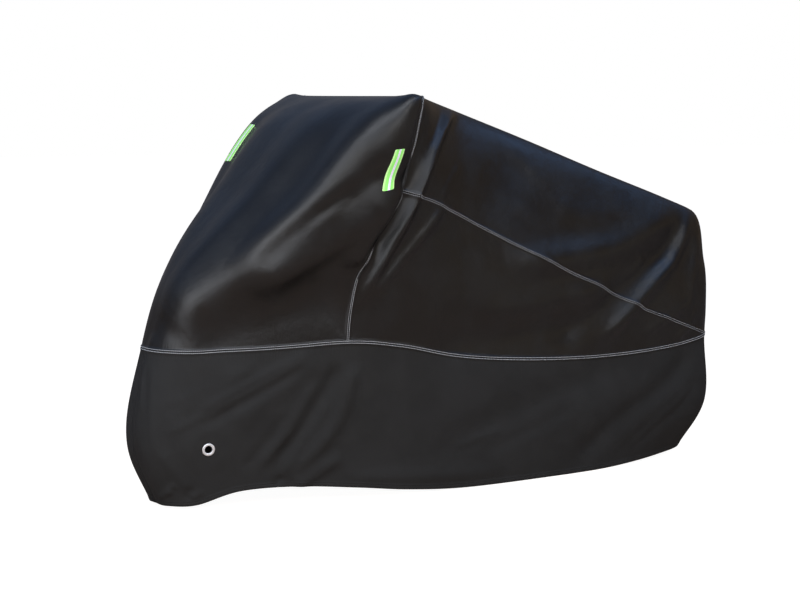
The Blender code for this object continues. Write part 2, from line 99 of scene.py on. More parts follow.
LOWER = (
    ("nose", -.628, .000, .425, -.668, .000, .150, -.610, .000, .011),
    ("brow", -.615, .065, .425, -.652, .070, .150, -.598, .055, .009),
    ("cheek", -.555, .118, .424, -.565, .120, .170, -.535, .100, .012),
    ("jaw", -.435, .165, .426, -.435, .152, .190, -.420, .130, .043),
    ("fold", -.285, .205, .432, -.275, .185, .200, -.262, .165, .046),
    ("seam", -.150, .236, .438, -.120, .215, .200, -.110, .200, .034),
    ("hip", .020, .240, .418, .040, .230, .200, .050, .220, .016),
    ("saddle", .240, .226, .372, .240, .225, .190, .240, .215, .002),
    ("flank", .530, .203, .345, .520, .208, .170, .520, .198, .000),
    ("haunch", .825, .172, .337, .805, .178, .170, .790, .162, .000),
    ("rump", 1.080, .138, .350, 1.070, .142, .155, 1.010, .115, .013),
    ("corner", 1.203, .096, .366, 1.202, .094, .145, 1.120, .075, .024),
    ("tail", 1.249, .000, .372, 1.246, .000, .140, 1.155, .000, .030),
)
SLANT_COLUMNS = ("u", "v")
SLANT = ((.200, .945), (.232, .930), (.264, .955), (.309, 1.150),
         (.360, 1.460), (.404, 1.850), (.440, 2.330), (.4755, 3.000))
SLANT_START_V, SLANT_END_U = SLANT[0][1], SLANT[-1][0]

# Folds: a ridge (depth > 0) or trough (depth < 0) through three places.  The main folds are those of the
# solids, which make none of them narrower than 22 mm.  The fine creases are only here.
FOLD_COLUMNS = ("name", "side", "u0", "v0", "u1", "v1", "u2", "v2", "width", "depth")
MAIN_FOLDS = (
    ("broad_ridge", -1, .158, .20, .124, 1.30, .042, 2.64, .086, .025),
    ("ridge_trough", -1, .166, .62, .132, 1.04, .116, 1.70, .022, -.010),
    ("narrow_ridge", -1, .174, .76, .153, 1.32, .125, 2.02, .046, .028),
    ("low_hollow", -1, .190, 2.05, .142, 2.24, .080, 2.92, .076, -.022),
    ("pocket_bulge", -1, .197, .78, .187, 1.28, .181, 1.80, .044, .026),
    ("shiny_fold", -1, .305, .05, .239, .93, .206, 2.50, .017, .017),
    ("shiny_trough", -1, .250, .15, .214, 1.01, .203, 1.75, .034, -.024),
    ("second_fold", -1, .279, .89, .245, 1.61, .214, 2.35, .015, .008),
    ("ridge_hollow", -1, .345, .30, .315, .90, .280, 1.60, .090, -.009),
    ("rear_swathe", -1, .456, .33, .387, 1.11, .319, 1.59, .045, .016),
    ("rear_fold", -1, .468, .25, .424, 1.49, .382, 2.78, .021, .013),
    ("rear_trough", -1, .456, .43, .407, 1.55, .348, 2.84, .040, -.012),
    ("rear_edge", -1, .470, .55, .457, 1.29, .448, 2.47, .018, .005),
    ("side_swathe", -1, .397, 1.64, .355, 1.94, .303, 2.50, .045, .011),
    ("side_hollow", -1, .377, 2.09, .334, 2.51, .273, 2.90, .060, -.014),
    ("upper_swell", -1, .441, .39, .390, .72, .355, .73, .050, .006),
    ("skirt_crease", -1, .179, 3.03, .136, 3.36, .091, 3.66, .013, .006),
    ("skirt_parallel", -1, .141, 3.16, .107, 3.39, .064, 3.61, .020, .005),
    ("skirt_swell", -1, .184, 3.10, .150, 3.50, .118, 3.86, .034, .008),
    ("skirt_trough", -1, .196, 3.19, .176, 3.78, .141, 4.77, .022, -.009),
    ("skirt_ridge", -1, .206, 3.20, .192, 3.82, .156, 4.94, .022, .010),
    ("hem_crease", -1, .160, 5.05, .177, 4.69, .194, 4.45, .020, .007),
    ("rear_diagonal", -1, .458, 3.09, .416, 3.91, .367, 4.89, .036, -.010),
    ("long_diagonal", -1, .408, 3.10, .347, 3.70, .270, 4.55, .050, -.008),
    ("corner_diagonal", -1, .466, 3.50, .437, 4.12, .405, 4.90, .028, -.005),
    ("nose_crease", -1, .012, 2.60, .014, 3.33, .016, 4.00, .020, .005),
    ("far_ridge", 1, .145, .20, .104, .90, .080, 2.10, .060, .007),
    ("far_trough", 1, .160, .50, .134, 1.15, .104, 2.00, .038, -.012),
    ("far_hollow", 1, .185, 1.80, .150, 2.10, .100, 2.70, .080, -.026),
    ("far_bulge", 1, .180, .75, .182, 1.35, .176, 1.95, .036, .022),
    ("far_shiny", 1, .282, .05, .240, 1.05, .206, 2.55, .026, .016),
    ("far_shiny_trough", 1, .246, .15, .218, 1.10, .205, 1.90, .036, -.018),
    ("far_second", 1, .300, .80, .262, 1.80, .226, 2.60, .030, .010),
    ("far_ridge_hollow", 1, .352, .35, .322, 1.05, .290, 1.85, .085, -.014),
    ("far_swathe", 1, .458, .30, .372, 1.15, .296, 1.75, .060, .012),
    ("far_rear_fold", 1, .466, .25, .432, 1.20, .384, 2.65, .034, .014),
    ("far_rear_trough", 1, .450, .40, .408, 1.50, .345, 2.75, .048, -.014),
    ("far_side_hollow", 1, .350, 1.95, .300, 2.40, .250, 2.85, .070, -.012),
    ("far_skirt_crease", 1, .172, 3.00, .124, 3.50, .062, 3.95, .026, .009),
    ("far_skirt_trough", 1, .202, 3.15, .168, 3.90, .120, 4.85, .036, -.009),
    ("far_skirt_ridge", 1, .214, 3.10, .192, 4.00, .154, 5.10, .030, .009),
    ("far_diagonal", 1, .456, 3.10, .402, 3.95, .345, 4.95, .040, -.009),
    ("far_long_diagonal", 1, .392, 3.15, .330, 3.85, .262, 4.65, .050, -.007),
)
FINE_CREASES = (
    ("ridge_line", -1, .162, .68, .143, .90, .132, 1.26, .009, .0024),
    ("fine_line", -1, .294, .63, .281, .79, .270, .96, .010, .0030),
    ("rear_short", -1, .419, 1.06, .412, 1.32, .401, 1.54, .014, .0030),
    ("rear_fan_upper", -1, .454, 1.77, .432, 2.21, .413, 2.68, .016, .0045),
    ("rear_fan_lower", -1, .459, 1.94, .452, 2.50, .437, 2.95, .014, .0035),
    ("skirt_crease_low", -1, .176, 3.13, .138, 3.44, .100, 3.69, .010, .0040),
    ("crease_trough", -1, .176, 3.22, .136, 3.56, .090, 3.85, .014, -.0045),
    ("crease_tail", -1, .102, 3.66, .084, 3.74, .062, 3.80, .010, .0025),
    ("parallel_trough", -1, .125, 3.26, .095, 3.46, .059, 3.62, .014, -.0030),
    ("skirt_ridge_front", -1, .181, 3.37, .162, 3.89, .137, 4.70, .016, .0050),
    ("skirt_trough_front", -1, .160, 3.74, .143, 4.19, .127, 4.67, .018, -.0040),
    ("skirt_ridge_middle", -1, .187, 3.63, .169, 4.12, .152, 4.90, .014, .0035),
    ("hem_nick", -1, .155, 4.79, .151, 4.90, .149, 4.99, .010, -.0040),
    ("hem_crease_front", -1, .163, 5.00, .175, 4.83, .188, 4.56, .012, .0025),
    ("hem_turn", -1, .184, 4.83, .261, 4.80, .335, 4.78, .022, .0050),
    ("nose_line", -1, .002, 3.06, .016, 3.33, .028, 3.60, .010, .0030),
    ("nose_line_rear", -1, .027, 3.06, .045, 3.57, .052, 4.10, .012, .0025),
    ("nose_low_ridge", -1, .057, 3.93, .066, 4.31, .080, 4.75, .018, .0035),
    ("pucker_first", -1, .060, 4.66, .049, 4.75, .026, 4.86, .009, .0030),
    ("pucker_second", -1, .068, 4.57, .057, 4.66, .050, 4.79, .009, .0030),
    ("pucker_third", -1, .081, 4.67, .078, 4.77, .073, 4.89, .008, -.0030),
    ("pucker_fourth", -1, .094, 4.81, .087, 4.82, .079, 4.88, .009, .0025),
    ("rear_streak", -1, .326, 4.12, .310, 4.25, .292, 4.40, .012, .0025),
    ("long_diagonal_low", -1, .374, 3.77, .341, 4.17, .310, 4.53, .022, -.0035),
    ("corner_line", -1, .455, 3.66, .436, 4.09, .410, 4.82, .014, .0035),
    ("seam_line", -1, .192, .15, .186, .45, .180, .70, .010, .0020),
    ("shiny_line", -1, .294, .30, .241, .86, .214, 1.72, .006, .0032),
    ("far_nose_line", 1, .002, 3.10, .014, 3.40, .026, 3.75, .012, .0025),
    ("far_fine_line", 1, .270, .60, .256, .86, .248, 1.10, .012, .0024),
    ("far_crease_low", 1, .168, 3.20, .126, 3.62, .078, 4.02, .012, -.0040),
    ("far_skirt_front", 1, .178, 3.50, .156, 4.10, .132, 4.80, .018, .0045),
    ("far_hem_turn", 1, .190, 4.84, .262, 4.80, .340, 4.78, .022, .0045),
    ("far_pucker", 1, .066, 4.60, .055, 4.70, .046, 4.83, .010, .0030),
    ("far_rear_fan", 1, .450, 1.70, .430, 2.25, .408, 2.75, .018, .0045),
    ("far_corner_line", 1, .458, 3.55, .430, 4.10, .398, 4.80, .018, .0025),
)


def columns_of(rows: tuple, names: tuple[str, ...]) -> dict[str, Points]:
    """A table's columns by name.

    Args:
        rows: The rows of the table.
        names: Its column names.

    Returns:
        One array for each name.
    """
    return {name: np.array([row[i] for row in rows]) for i, name in enumerate(names)}


SECTION = {**columns_of(UPPER, UPPER_COLUMNS), **columns_of(LOWER, LOWER_COLUMNS)}
SLANT_LINE = columns_of(SLANT, SLANT_COLUMNS)


def unit(vectors: Points) -> Points:
    """Vectors at length one."""
    return vectors / (np.linalg.norm(vectors, axis=-1, keepdims=True) + 1e-12)


def ease(share: Points) -> Points:
    """A share from 0 to 1 with soft ends."""
    share = np.clip(share, 0, 1)
    return share * share * (3 - 2 * share)


def hermite(t: Points, start: Points, start_rate: Points, end: Points, end_rate: Points) -> Points:
    """Cubic from start to end with the given rates, t from 0 to 1."""
    return ((2 * t**3 - 3 * t**2 + 1) * start + (t**3 - 2 * t**2 + t) * start_rate
            + (3 * t**2 - 2 * t**3) * end + (t**3 - t**2) * end_rate)


def smooth_line(knots: Points, values: Points, x: Points) -> Points:
    """Smooth line through the values at the knots, read at x.

    Args:
        knots: Places of the values, rising.
        values: The values there.
        x: Where the line is read.

    Returns:
        The line at x.
    """
    step = np.diff(knots)
    slope = np.diff(values) / step
    rate = np.empty(len(values))
    rate[1:-1] = (slope[:-1] * step[1:] + slope[1:] * step[:-1]) / (step[:-1] + step[1:])
    rate[0], rate[-1] = slope[0], slope[-1]
    i = np.clip(np.searchsorted(knots, x, side="right") - 1, 0, len(knots) - 2)
    t = (x - knots[i]) / step[i]
    return hermite(t, values[i], rate[i] * step[i], values[i + 1], rate[i + 1] * step[i])


def slant_v(u: Points) -> Points:
    """Level of the rear top's lower edge: the slanting seam, then the belt."""
    slant = smooth_line(SLANT_LINE["u"], SLANT_LINE["v"], np.minimum(u, SLANT_END_U))
    return np.where(u < SLANT_END_U, slant, BELT_V)


@dataclass(frozen=True)
class Drape:
    """The surface of the cover, read at (u, v): u round the cover, v down it."""

    taut_v: float = 0.12
    eyelet_uv: tuple[float, float] = (.101, 4.09)
    flat_radius: float = 0.038
    flat_fade: float = 0.075
    fold_points: int = 13
    run_out: float = 0.2

    @staticmethod
    def section_value(name: str, u: Points) -> Points:
        """One column of the sections at u, mirrored past nose and tail so that the line is smooth there.

        Args:
            name: The column's name.
            u: Places round the cover.

        Returns:
            The value at each place.
        """
        sign = -1.0 if name.endswith("_w") else 1.0
        knots, values = SECTION["u"], SECTION[name]
        knots = np.concatenate([-knots[3:0:-1], knots, 1.0 - knots[-2:-5:-1]])
        values = np.concatenate([sign * values[3:0:-1], values, sign * values[-2:-5:-1]])
        return smooth_line(knots, values, u)

    def section_points(self, u: Points, side: Side) -> Points:
        """The six level points of the section at u.

        Args:
            u: Places round the cover.
            side: Which side of it.

        Returns:
            The points, crest first, along the last axis but one.
        """
        levels = [np.stack([self.section_value(level + "_x", u),
                            side.value * self.section_value(level + "_w", u),
                            self.section_value(level + "_z", u) - REST_HEIGHT], -1) for level in LEVELS]
        return np.stack(levels, -2)

    def level_tangents(self, points: Points, u: Points) -> tuple[Points, Points]:
        """Direction of the cloth at each level, down the section, and the length of each span.

        Args:
            points: The level points.
            u: Places round the cover.

        Returns:
            The tangents and the lengths.
        """
        run = np.diff(np.concatenate([points, 2 * points[..., 5:, :] - points[..., 4:5, :]], -2), axis=-2)
        length = np.linalg.norm(run, axis=-1, keepdims=True)
        heading = run / (length + 1e-9)
        before, after = length[..., :-1, :], length[..., 1:, :]
        below = (heading[..., :-1, :] * after + heading[..., 1:, :] * before) / (before + after)
        crest, chest = points[..., 0, :], points[..., 1, :]
        outward_flat = unit((chest - crest) * [1, 1, 0] + crest * [0, .6, 0])
        crown = outward_flat * 2 * self.section_value("crown", u)[..., None]
        return np.concatenate([crown[..., None, :], below], -2), length

    def smooth(self, u: Points, v: Points, side: Side) -> Points:
        """The drape without its folds.

        Args:
            u: Places round the cover.
            v: Levels down it.
            side: Which side of it.

        Returns:
            A point for each place.
        """
        u, v = np.broadcast_arrays(np.asarray(u, float), np.asarray(v, float))
        points = self.section_points(u, side)
        tangents, length = self.level_tangents(points, u)
        level = np.clip(np.floor(v).astype(int), 0, 4)
        t = np.clip(v - level, 0, 1)[..., None]

        def pick(array: Points, offset: int) -> Points:
            """The array's entry at the level above the point, or offset levels on."""
            index = (level + offset)[..., None, None].repeat(array.shape[-1], -1)
            return np.take_along_axis(array, index, -2)[..., 0, :]

        span = pick(length, 0)
        down = hermite(t, pick(points, 0), span * pick(tangents, 0),
                       pick(points, 1), span * pick(tangents, 1))
        crest = points[..., 0, :]
        corner = self.section_points(np.full_like(u, SEAM_U), side)[..., 0, :]
        middle = corner * [1, 0, 1]
        share = np.clip(np.abs(crest[..., 1:2] / corner[..., 1:2]), 0, 1)
        top = np.where((u >= SEAM_U)[..., None], crest * [1, 0, 1], middle + (corner - middle) * share)
        over = top + (crest - top) * np.clip(v + 1, 0, 1)[..., None]
        return np.where((v < 0)[..., None], over, down)

    @staticmethod
    def outward(surface: Callable, u: Points, v: Points, side: Side,
                du: float = .0015, dv: float = .01) -> Points:
        """Outward direction of a surface at (u, v), by small steps both ways.

        Args:
            surface: The surface, called with u, v and side.
            u: Places round the cover.
            v: Levels down it.
            side: Which side of it.
            du: Step in u.
            dv: Step in v.

        Returns:
            A direction of length one for each place.
        """
        along = surface(u + du, v, side) - surface(u - du, v, side)
        down = surface(u, np.minimum(v + dv, HEM_V), side) - surface(u, np.maximum(v - dv, TOP_V), side)
        return unit(np.cross(down, along) * -side.value)

    @cache
    def fold_paths(self) -> tuple[tuple[Points, float, float], ...]:
        """Path on the smooth drape, width and depth of every fold.

        Returns:
            One path, width and depth for each fold.
        """
        places = np.array([0, .5, 1])
        t = np.linspace(0, 1, self.fold_points)
        made = []
        for row in MAIN_FOLDS + FINE_CREASES:
            fold = dict(zip(FOLD_COLUMNS, row))
            path_u = smooth_line(places, np.array([fold["u0"], fold["u1"], fold["u2"]]), t)
            path_v = smooth_line(places, np.array([fold["v0"], fold["v1"], fold["v2"]]), t)
            made.append((self.smooth(path_u, path_v, Side(fold["side"])), fold["width"], fold["depth"]))
        return tuple(made)

    def fold_lift(self, points: Points) -> Points:
        """How far the folds lift the cloth at these points of the smooth drape.

        Args:
            points: Points of the smooth drape.

        Returns:
            The lift at each point, in metres.
        """
        lift = np.zeros(points.shape[:-1])
        for path, width, depth in self.fold_paths():
            lift += depth * self.ridge(points, path, width)
        return lift

    def ridge(self, points: Points, path: Points, width: float) -> Points:
        """Height of a soft ridge of height one along a path, running out at the path's ends.

        Args:
            points: Points of the smooth drape.
            path: The ridge's path.
            width: Distance at which it has fallen to about a third.

        Returns:
            The height at each point.
        """
        height = np.zeros(points.shape[:-1])
        low, high = path.min(0) - 3 * width, path.max(0) + 3 * width
        near = np.all((points > low) & (points < high), axis=-1)
        close = points[near]
        nearest = np.full(len(close), np.inf)
        place = np.zeros(len(close))
        for k, (start, end) in enumerate(zip(path[:-1], path[1:])):
            share = np.clip((close - start) @ (end - start) / ((end - start) @ (end - start)), 0, 1)
            distance = np.linalg.norm(close - start - share[:, None] * (end - start), axis=-1)
            place = np.where(distance < nearest, (k + share) / (len(path) - 1), place)
            nearest = np.minimum(nearest, distance)
        ends = ease(np.clip(place / self.run_out, 0, 1) * np.clip((1 - place) / self.run_out, 0, 1))
        height[near] = ends * np.exp(-(nearest / width) ** 2)
        return height

    def folded(self, u: Points, v: Points, side: Side) -> Points:
        """The drape with its folds.

        Args:
            u: Places round the cover.
            v: Levels down it.
            side: Which side of it.

        Returns:
            A point for each place.
        """
        points = self.smooth(u, v, side)
        slack = np.clip(np.asarray(v, float) / self.taut_v, 0, 1) ** 2
        normal = self.outward(self.smooth, u, v, side, du=.003, dv=.02)
        return points + normal * (self.fold_lift(points) * slack)[..., None]

    @cache
    def eyelet_seat(self, side: Side) -> tuple[Points, Points]:
        """Centre and outward direction of the eyelet of one side."""
        u, v = np.array([self.eyelet_uv[0]]), np.array([self.eyelet_uv[1]])
        return self.folded(u, v, side)[0], self.outward(self.folded, u, v, side)[0]

    def cloth(self, u: Points, v: Points, side: Side) -> Points:
        """Outer face of the cloth: folded, and flat where an eyelet clamps it.

        Args:
            u: Places round the cover.
            v: Levels down it.
            side: Which side of it.

        Returns:
            A point for each place.
        """
        u, v = np.broadcast_arrays(np.asarray(u, float), np.asarray(v, float))
        points = self.folded(u, v, side)
        centre, axis = self.eyelet_seat(side)
        away = np.linalg.norm(points - centre, axis=-1)
        hold = ease((self.flat_fade - away) / (self.flat_fade - self.flat_radius))
        return points - axis * (((points - centre) @ axis) * hold)[..., None]

    def both(self, around: Points, v: Points) -> Points:
        """The cloth where the sign of around gives the side.

        Args:
            around: Places round the cover, below zero on the left.
            v: Levels down it.

        Returns:
            A point for each place.
        """
        u = np.abs(around)
        right = (around > 0)[..., None]
        return np.where(right, self.cloth(u, v, Side.RIGHT), self.cloth(u, v, Side.LEFT))


DRAPE = Drape()


# ---------------------------------------------------------------- shaders
class NodeTree:
    """Short calls for building a node tree."""

    def __init__(self, tree: bpy.types.NodeTree) -> None:
        """Takes the tree to build in."""
        self.tree = tree

    def add(self, kind: str, inputs: dict | None = None, **settings: object) -> bpy.types.Node:
        """Adds a node.

        Args:
            kind: The node's type name.
            inputs: Values or links by input name or number.
            settings: The node's own settings.

        Returns:
            The node.
        """
        node = self.tree.nodes.new(kind)
        for name, value in settings.items():
            setattr(node, name, value)
        for name, value in (inputs or {}).items():
            if isinstance(value, bpy.types.NodeSocket):
                self.tree.links.new(value, node.inputs[name])
            else:
                node.inputs[name].default_value = value
        return node

    def link(self, value: bpy.types.NodeSocket, socket: bpy.types.NodeSocket) -> None:
        """Feeds a value into a socket."""
        self.tree.links.new(value, socket)

    def bump(self, shader: bpy.types.Node, height: bpy.types.NodeSocket,
             strength: float, distance: float) -> None:
        """Raises a height on a shader's surface."""
        node = self.add("ShaderNodeBump", {"Height": height, "Strength": strength, "Distance": distance})
        self.link(node.outputs[0], shader.inputs["Normal"])

    def math(self, operation: str, *values: object) -> bpy.types.NodeSocket:
        """Adds a Math node and returns its value."""
        return self.add("ShaderNodeMath", dict(enumerate(values)), operation=operation).outputs[0]

    def mix(self, factor: object, low: object, high: object) -> bpy.types.NodeSocket:
        """Mixes two colours.

        Args:
            factor: Share of the second colour.
            low: The first colour.
            high: The second colour.

        Returns:
            The mixed colour.
        """
        node = self.add("ShaderNodeMix", data_type="RGBA")
        for name, value in ((0, factor), (6, low), (7, high)):
            if isinstance(value, bpy.types.NodeSocket):
                self.tree.links.new(value, node.inputs[name])
            else:
                node.inputs[name].default_value = value
        return node.outputs[2]

    def ramp(self, value: object, low: float, high: float) -> bpy.types.NodeSocket:
        """Spreads a value from low..high to 0..1."""
        node = self.add("ShaderNodeMapRange", {"Value": value, "From Min": low, "From Max": high},
                        interpolation_type="SMOOTHSTEP")
        return node.outputs[0]


def new_group(
    name: str,
    inputs: tuple[tuple[str, str, object], ...],
    outputs: tuple[tuple[str, str], ...],
) -> tuple[bpy.types.NodeTree, NodeTree, bpy.types.Node, bpy.types.Node]:
    """Starts a shader node group.

    Args:
        name: The group's name.
        inputs: Name, socket type and default of each input.
        outputs: Name and socket type of each output.

    Returns:
        The group, its builder, its input node and its output node.
    """
    group = bpy.data.node_groups.new(name, "ShaderNodeTree")
    for label, kind, default in inputs:
        socket = group.interface.new_socket(label, in_out="INPUT", socket_type=kind)
        if default is not None:
            socket.default_value = default
    for label, kind in outputs:
        group.interface.new_socket(label, in_out="OUTPUT", socket_type=kind)
    return group, NodeTree(group), group.nodes.new("NodeGroupInput"), group.nodes.new("NodeGroupOutput")


def weave_group() -> bpy.types.NodeTree:
    """Plain weave: threads over and under each other, from a UV map in metres.

    Returns:
        The group, with the output Height.
    """
    group, n, given, made = new_group(
        "plain_weave",
        (("UV", "NodeSocketVector", None), ("Threads per metre", "NodeSocketFloat", 1500.0)),
        (("Height", "NodeSocketFloat"),))
    split = n.add("ShaderNodeSeparateXYZ", {0: given.outputs["UV"]})
    waves = []
    for axis in (0, 1):
        turn = n.math("MULTIPLY", n.math("MULTIPLY", split.outputs[axis], given.outputs[1]), math.pi)
        waves.append(n.math("SINE", turn))
    crossing = n.math("MULTIPLY", *waves)
    group.links.new(n.math("ABSOLUTE", crossing), made.inputs["Height"])
    return group


def crumple_group() -> bpy.types.NodeTree:
    """Slight unevenness of coated cloth: broad slack and fine crumple.

    Returns:
        The group, with the outputs Broad and Fine.
    """
    group, n, given, made = new_group(
        "cloth_crumple",
        (("Vector", "NodeSocketVector", None), ("Broad size", "NodeSocketFloat", .09),
         ("Fine size", "NodeSocketFloat", .012)),
        (("Broad", "NodeSocketFloat"), ("Fine", "NodeSocketFloat")))
    for output, size, detail in (("Broad", given.outputs[1], 2.0), ("Fine", given.outputs[2], 4.0)):
        scale = n.math("DIVIDE", 1.0, size)
        noise = n.add("ShaderNodeTexNoise", {"Vector": given.outputs[0], "Scale": scale, "Detail": detail})
        group.links.new(noise.outputs[0], made.inputs[output])
    return group


def pucker_group() -> bpy.types.NodeTree:
    """Pucker that stitching draws into the cloth beside a seam.

    Returns:
        The group, with the output Height.
    """
    group, n, given, made = new_group(
        "seam_pucker",
        (("Seam gap", "NodeSocketFloat", 1.0), ("Seam run", "NodeSocketFloat", 0.0),
         ("Reach", "NodeSocketFloat", .014), ("Pitch", "NodeSocketFloat", .013)),
        (("Height", "NodeSocketFloat"),))
    run, reach, pitch = given.outputs["Seam run"], given.outputs["Reach"], given.outputs["Pitch"]
    noise = n.add("ShaderNodeTexNoise", {"W": run, "Scale": 32.0, "Detail": 2.0}, noise_dimensions="1D")
    turn = n.math("MULTIPLY", n.math("DIVIDE", run, pitch), 2 * math.pi)
    turn = n.math("ADD", turn, n.math("MULTIPLY", noise.outputs[0], 16.0))
    wave = n.math("ADD", n.math("MULTIPLY", n.math("SINE", turn), .5), .5)
    fade = n.math("EXPONENT", n.math("MULTIPLY", n.math("DIVIDE", given.outputs["Seam gap"], reach), -1.0))
    height = n.math("MULTIPLY", n.math("MULTIPLY", wave, fade), noise.outputs[0])
    group.links.new(height, made.inputs["Height"])
    return group


def attribute(n: NodeTree, name: str) -> bpy.types.NodeSocket:
    """A mesh attribute as a number."""
    return n.add("ShaderNodeAttribute", attribute_name=name, attribute_type="GEOMETRY").outputs["Fac"]


def new_material(name: str) -> tuple[bpy.types.Material, NodeTree, bpy.types.Node]:
    """Starts a material.

    Args:
        name: Its name.

    Returns:
        The material, its builder and its shader node.
    """
    made = bpy.data.materials.new(name)
    made.use_nodes = True
    return made, NodeTree(made.node_tree), made.node_tree.nodes["Principled BSDF"]


@dataclass(frozen=True)
class ClothFinish:
    """Coated cloth: colour, gloss, weave, slack and seam pucker."""

    name: str
    colour: tuple[float, float, float]
    second: tuple[float, float, float]
    roughness: tuple[float, float]
    specular: float
    threads: float = 1500.0
    weave_depth: float = .00006
    crumple_depth: float = .0005
    slack_depth: float = .0030
    pucker_depth: float = .0009

    def material(self) -> bpy.types.Material:
        """Builds the node tree of the cloth.

        Returns:
            The material.
        """
        made, n, shader = new_material(self.name)
        uv = n.add("ShaderNodeUVMap", uv_map="cloth").outputs[0]
        place = n.add("ShaderNodeTexCoord").outputs["Object"]
        crumple = n.add("ShaderNodeGroup", node_tree=GROUPS["crumple"])
        n.link(place, crumple.inputs[0])
        weave = n.add("ShaderNodeGroup", node_tree=GROUPS["weave"])
        n.link(uv, weave.inputs[0])
        weave.inputs[1].default_value = self.threads
        pucker = n.add("ShaderNodeGroup", node_tree=GROUPS["pucker"])
        n.link(attribute(n, "seam_gap"), pucker.inputs["Seam gap"])
        n.link(attribute(n, "seam_run"), pucker.inputs["Seam run"])
        broad = n.ramp(crumple.outputs["Broad"], .35, .65)
        colour = n.mix(broad, (*self.colour, 1), (*self.second, 1))
        n.link(colour, shader.inputs["Base Color"])
        smooth, dull = self.roughness
        rough = n.math("ADD", n.math("MULTIPLY", broad, dull - smooth), smooth)
        n.link(rough, shader.inputs["Roughness"])
        height = n.math("MULTIPLY", weave.outputs[0], self.weave_depth)
        height = n.math("ADD", height, n.math("MULTIPLY", crumple.outputs["Fine"], self.crumple_depth))
        height = n.math("ADD", height, n.math("MULTIPLY", crumple.outputs["Broad"], self.slack_depth))
        height = n.math("ADD", height, n.math("MULTIPLY", pucker.outputs[0], self.pucker_depth))
        n.bump(shader, height, 1.0, 1.0)
        shader.inputs["Specular IOR Level"].default_value = self.specular
        return made


@dataclass(frozen=True)
class ThreadFinish:
    """Twisted sewing thread."""

    name: str
    colour: tuple[float, float, float]
    second: tuple[float, float, float]

    def material(self) -> bpy.types.Material:
        """Builds the node tree of the thread.

        Returns:
            The material.
        """
        made, n, shader = new_material(self.name)
        place = n.add("ShaderNodeTexCoord").outputs["Object"]
        noise = n.add("ShaderNodeTexNoise", {"Vector": place, "Scale": 900.0, "Detail": 2.0})
        colour = n.mix(noise.outputs[0], (*self.colour, 1), (*self.second, 1))
        n.link(colour, shader.inputs["Base Color"])
        n.bump(shader, noise.outputs[0], .5, .0003)
        shader.inputs["Roughness"].default_value = .55
        return made


@dataclass(frozen=True)
class TapeFinish:
    """Bright tape with paler edges and a reflective line along its middle, pricked by tiny glass beads; its
    own colours also glow faintly, a painted glow in place of the tape's reflective shine.
    """

    name: str = "reflective_tape"
    body: tuple[float, float, float] = (.34, .93, .20)
    edge: tuple[float, float, float] = (.60, 1.0, .38)
    line: tuple[float, float, float] = (.90, .82, 1.0)

    def material(self) -> bpy.types.Material:
        """Builds the node tree of the tape.

        Returns:
            The material.
        """
        made, n, shader = new_material(self.name)
        uv = n.add("ShaderNodeUVMap", uv_map="cloth").outputs[0]
        across = n.add("ShaderNodeSeparateXYZ", {0: uv}).outputs[0]
        from_middle = n.math("ABSOLUTE", n.math("SUBTRACT", across, .5))
        edge = n.ramp(from_middle, .34, .40)
        line = n.math("SUBTRACT", 1.0, n.ramp(from_middle, .095, .125))
        colour = n.mix(edge, (*self.body, 1), (*self.edge, 1))
        colour = n.mix(line, colour, (*self.line, 1))
        n.link(colour, shader.inputs["Base Color"])
        place = n.add("ShaderNodeTexCoord").outputs["Object"]
        beads = n.add("ShaderNodeTexVoronoi", {"Vector": place, "Scale": 1400.0})
        n.bump(shader, beads.outputs[0], .25, .0002)
        # Painted glow: the tape's colours are fed to its emission, so it shines brighter than the lamps alone
        # light it.
        n.link(colour, shader.inputs["Emission Color"])
        shader.inputs["Emission Strength"].default_value = .25
        shader.inputs["Roughness"].default_value = .38
        return made


@dataclass(frozen=True)
class MetalFinish:
    """Rolled metal with a pale satin coat and faint turning marks."""

    name: str = "eyelet_metal"

    def material(self) -> bpy.types.Material:
        """Builds the node tree of the metal.

        Returns:
            The material.
        """
        made, n, shader = new_material(self.name)
        place = n.add("ShaderNodeTexCoord").outputs["Object"]
        noise = n.add("ShaderNodeTexNoise", {"Vector": place, "Scale": 260.0, "Detail": 5.0})
        colour = n.mix(noise.outputs[0], (.93, .93, .94, 1), (.98, .98, .98, 1))
        n.link(colour, shader.inputs["Base Color"])
        rough = n.math("ADD", n.math("MULTIPLY", noise.outputs[0], .16), .24)
        n.link(rough, shader.inputs["Roughness"])
        n.bump(shader, noise.outputs[0], .15, .0002)
        shader.inputs["Metallic"].default_value = .45
        return made


GROUPS: dict[str, bpy.types.NodeTree] = {}
UPPER_CLOTH = ClothFinish("upper_cloth", (.0072, .0062, .0056), (.0084, .0080, .0080), (.30, .37), .50)
SKIRT_CLOTH = ClothFinish("skirt_cloth", (.0250, .0248, .0244), (.0296, .0293, .0289), (.74, .84), .20,
                          threads=1100.0, weave_depth=.00009)


# ---------------------------------------------------------------- mesh helpers
def deselect_all() -> None:
    """Leaves nothing selected, in object mode."""
    if bpy.context.object and bpy.context.object.mode != "OBJECT":
        bpy.ops.object.mode_set(mode="OBJECT")
    bpy.ops.object.select_all(action="DESELECT")


def make_active(piece: bpy.types.Object) -> None:
    """Selects one object only.

    Args:
        piece: The object.
    """
    deselect_all()
    piece.select_set(True)
    bpy.context.view_layer.objects.active = piece


@contextmanager
def editing(piece: bpy.types.Object) -> Iterator[None]:
    """Edit mode on one piece, with all of its mesh selected.

    Args:
        piece: The piece.

    Yields:
        Nothing: the work is done inside the with block.
    """
    make_active(piece)
    bpy.ops.object.mode_set(mode="EDIT")
    bpy.ops.mesh.select_all(action="SELECT")
    yield
    bpy.ops.object.mode_set(mode="OBJECT")


